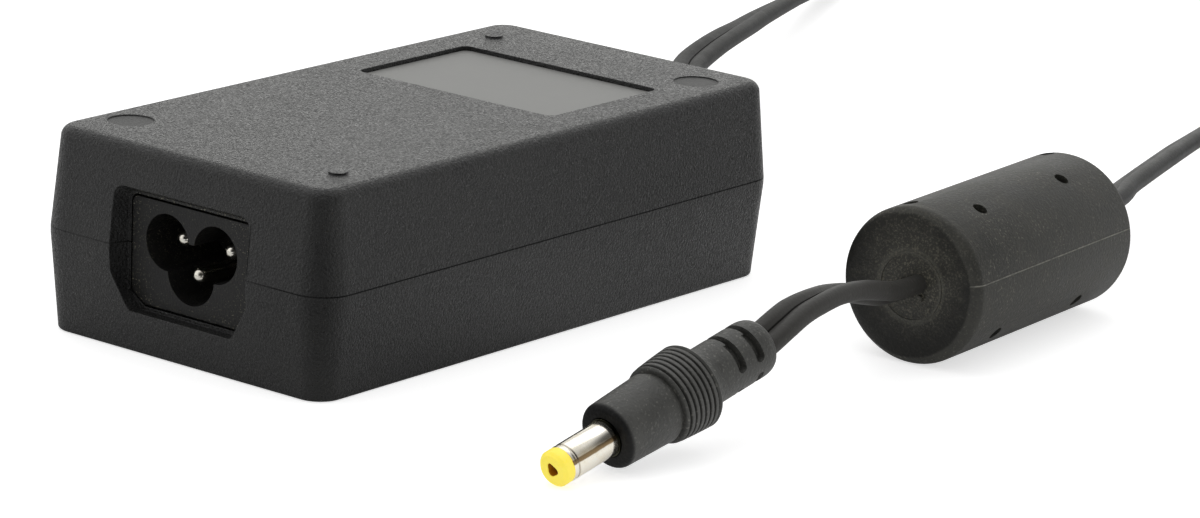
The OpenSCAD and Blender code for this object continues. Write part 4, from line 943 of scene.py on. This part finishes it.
def make_floor():
    """White floor that fades into the backdrop, with patches that only mirrors see."""
    size = 4
    verts = [(-size, -size, 0), (size, -size, 0), (size, size, 0), (-size, size, 0)]
    floor = piece("floor", verts, [(0, 1, 2, 3)], None, smooth=False)
    floor.location.z = -0.00005
    material = bpy.data.materials.new("floor")
    material.use_nodes = True
    nodes = Nodes(material.node_tree)
    path = nodes.add("ShaderNodeLightPath").outputs
    place = nodes.add("ShaderNodeTexCoord").outputs["Object"]

    def across(direction, low, high):
        """0 to 1 over the floor along a direction, in metres."""
        return nodes.ramp(nodes.dot(place, direction), low, high)

    # What mirrors the floor sees it brighter at the right and darker in a strip off the near corner
    side = Vector((0.78, 0.62, 0))
    corner = side.dot(Vector((0.033, -0.05, 0)))
    fade = nodes.times(across(side, corner + 0.05, corner + 0.1), 0.45)
    right = nodes.math("SUBTRACT", across(side, corner + 0.012, corner + 0.04), fade)
    near_side = across(side, corner - 0.055, corner - 0.022)
    strip = nodes.math("SUBTRACT", near_side, across(side, corner + 0.018, corner + 0.029))
    strip = nodes.times(strip, across(Vector((0.62, -0.78, 0)), 0.055, 0.085), 0.74)
    front = nodes.times(across(Vector((0, -1, 0)), 0.065, 0.12), 0.18)
    dark = nodes.times(nodes.math("MAXIMUM", strip, front), path["Is Glossy Ray"])
    diffuse = nodes.add("ShaderNodeBsdfDiffuse")
    nodes.link(nodes.math("SUBTRACT", FLOOR_WHITE, dark), diffuse.inputs["Color"])
    mirrored = nodes.times(right, path["Is Glossy Ray"], 0.32)
    glow = nodes.add("ShaderNodeEmission")
    seen = nodes.times(path["Is Camera Ray"], FLOOR_SEEN)
    nodes.link(nodes.math("ADD", seen, mirrored), glow.inputs["Strength"])
    both = nodes.add("ShaderNodeAddShader")
    nodes.link(diffuse.outputs[0], both.inputs[0])
    nodes.link(glow.outputs[0], both.inputs[1])
    nodes.link(both.outputs[0], nodes.add("ShaderNodeOutputMaterial").inputs["Surface"])
    floor.data.materials.append(material)


def make_world():
    """White where it is seen or mirrored, grey for other rays, and dark beyond the tent's right and front."""
    world = bpy.data.worlds.new("studio")
    bpy.context.scene.world = world
    world.use_nodes = True
    nodes = Nodes(world.node_tree)
    path = nodes.add("ShaderNodeLightPath").outputs
    place = nodes.add("ShaderNodeTexCoord").outputs["Generated"]
    seen = nodes.math("MAXIMUM", path["Is Camera Ray"], path["Is Glossy Ray"])
    seen = nodes.math("MAXIMUM", seen, path["Is Transmission Ray"])
    white = 1.0
    for direction, inner, outer, level in DARK_SIDES:
        toward = nodes.dot(place, Vector(direction).normalized())
        outer_cos, inner_cos = math.cos(math.radians(outer)), math.cos(math.radians(inner))
        white = nodes.times(white, nodes.ramp(toward, outer_cos, inner_cos, 1.0, level, smooth=False))
    toward = nodes.dot(place, Vector((0.25, -1, 0)).normalized())
    ambient = nodes.ramp(toward, 0.2, 0.8, AMBIENT, AMBIENT_FRONT, smooth=False)
    back = nodes.add("ShaderNodeBackground")
    nodes.link(nodes.ramp(seen, 0.0, 1.0, ambient, white, smooth=False), back.inputs["Strength"])
    nodes.link(back.outputs[0], nodes.add("ShaderNodeOutputWorld").inputs["Surface"])
    # Light paths decide the level, so the sky is never sampled apart from them
    world.cycles.sampling_method = "NONE"


def area_light(name, place, size, power, colour=(1.0, 1.0, 1.0)):
    """A rectangular light that faces the part."""
    data = bpy.data.lights.new(name, "AREA")
    data.shape = "RECTANGLE"
    data.size, data.size_y = size
    data.energy = power
    data.color = colour
    light = bpy.data.objects.new(name, data)
    light.location = place
    light.rotation_euler = (-Vector(place)).to_track_quat("-Z", "Y").to_euler()
    bpy.context.scene.collection.objects.link(light)


# ---- Build ----

lead, lead_points = make_lead()
boot = make_boot()
strap = make_strap()
plug = make_plug()
tip = make_tip()

REPLACED = CORD_NODES + ("cord_boot", "coil_tie", "plug_body", "plug_tip")
for node_name in NODES:
    if node_name not in REPLACED:
        finish_node(node_name)

make_floor()
make_world()
area_light("overhead", (-0.3, 0.2, 1.6), (1.6, 1.6), 5)
area_light("back", (-1.31, 1.51, 0.6), (1.8, 1.0), 3.4, (1.0, 1.0, 0.94))

bpy.context.scene.view_settings.view_transform = "Standard"
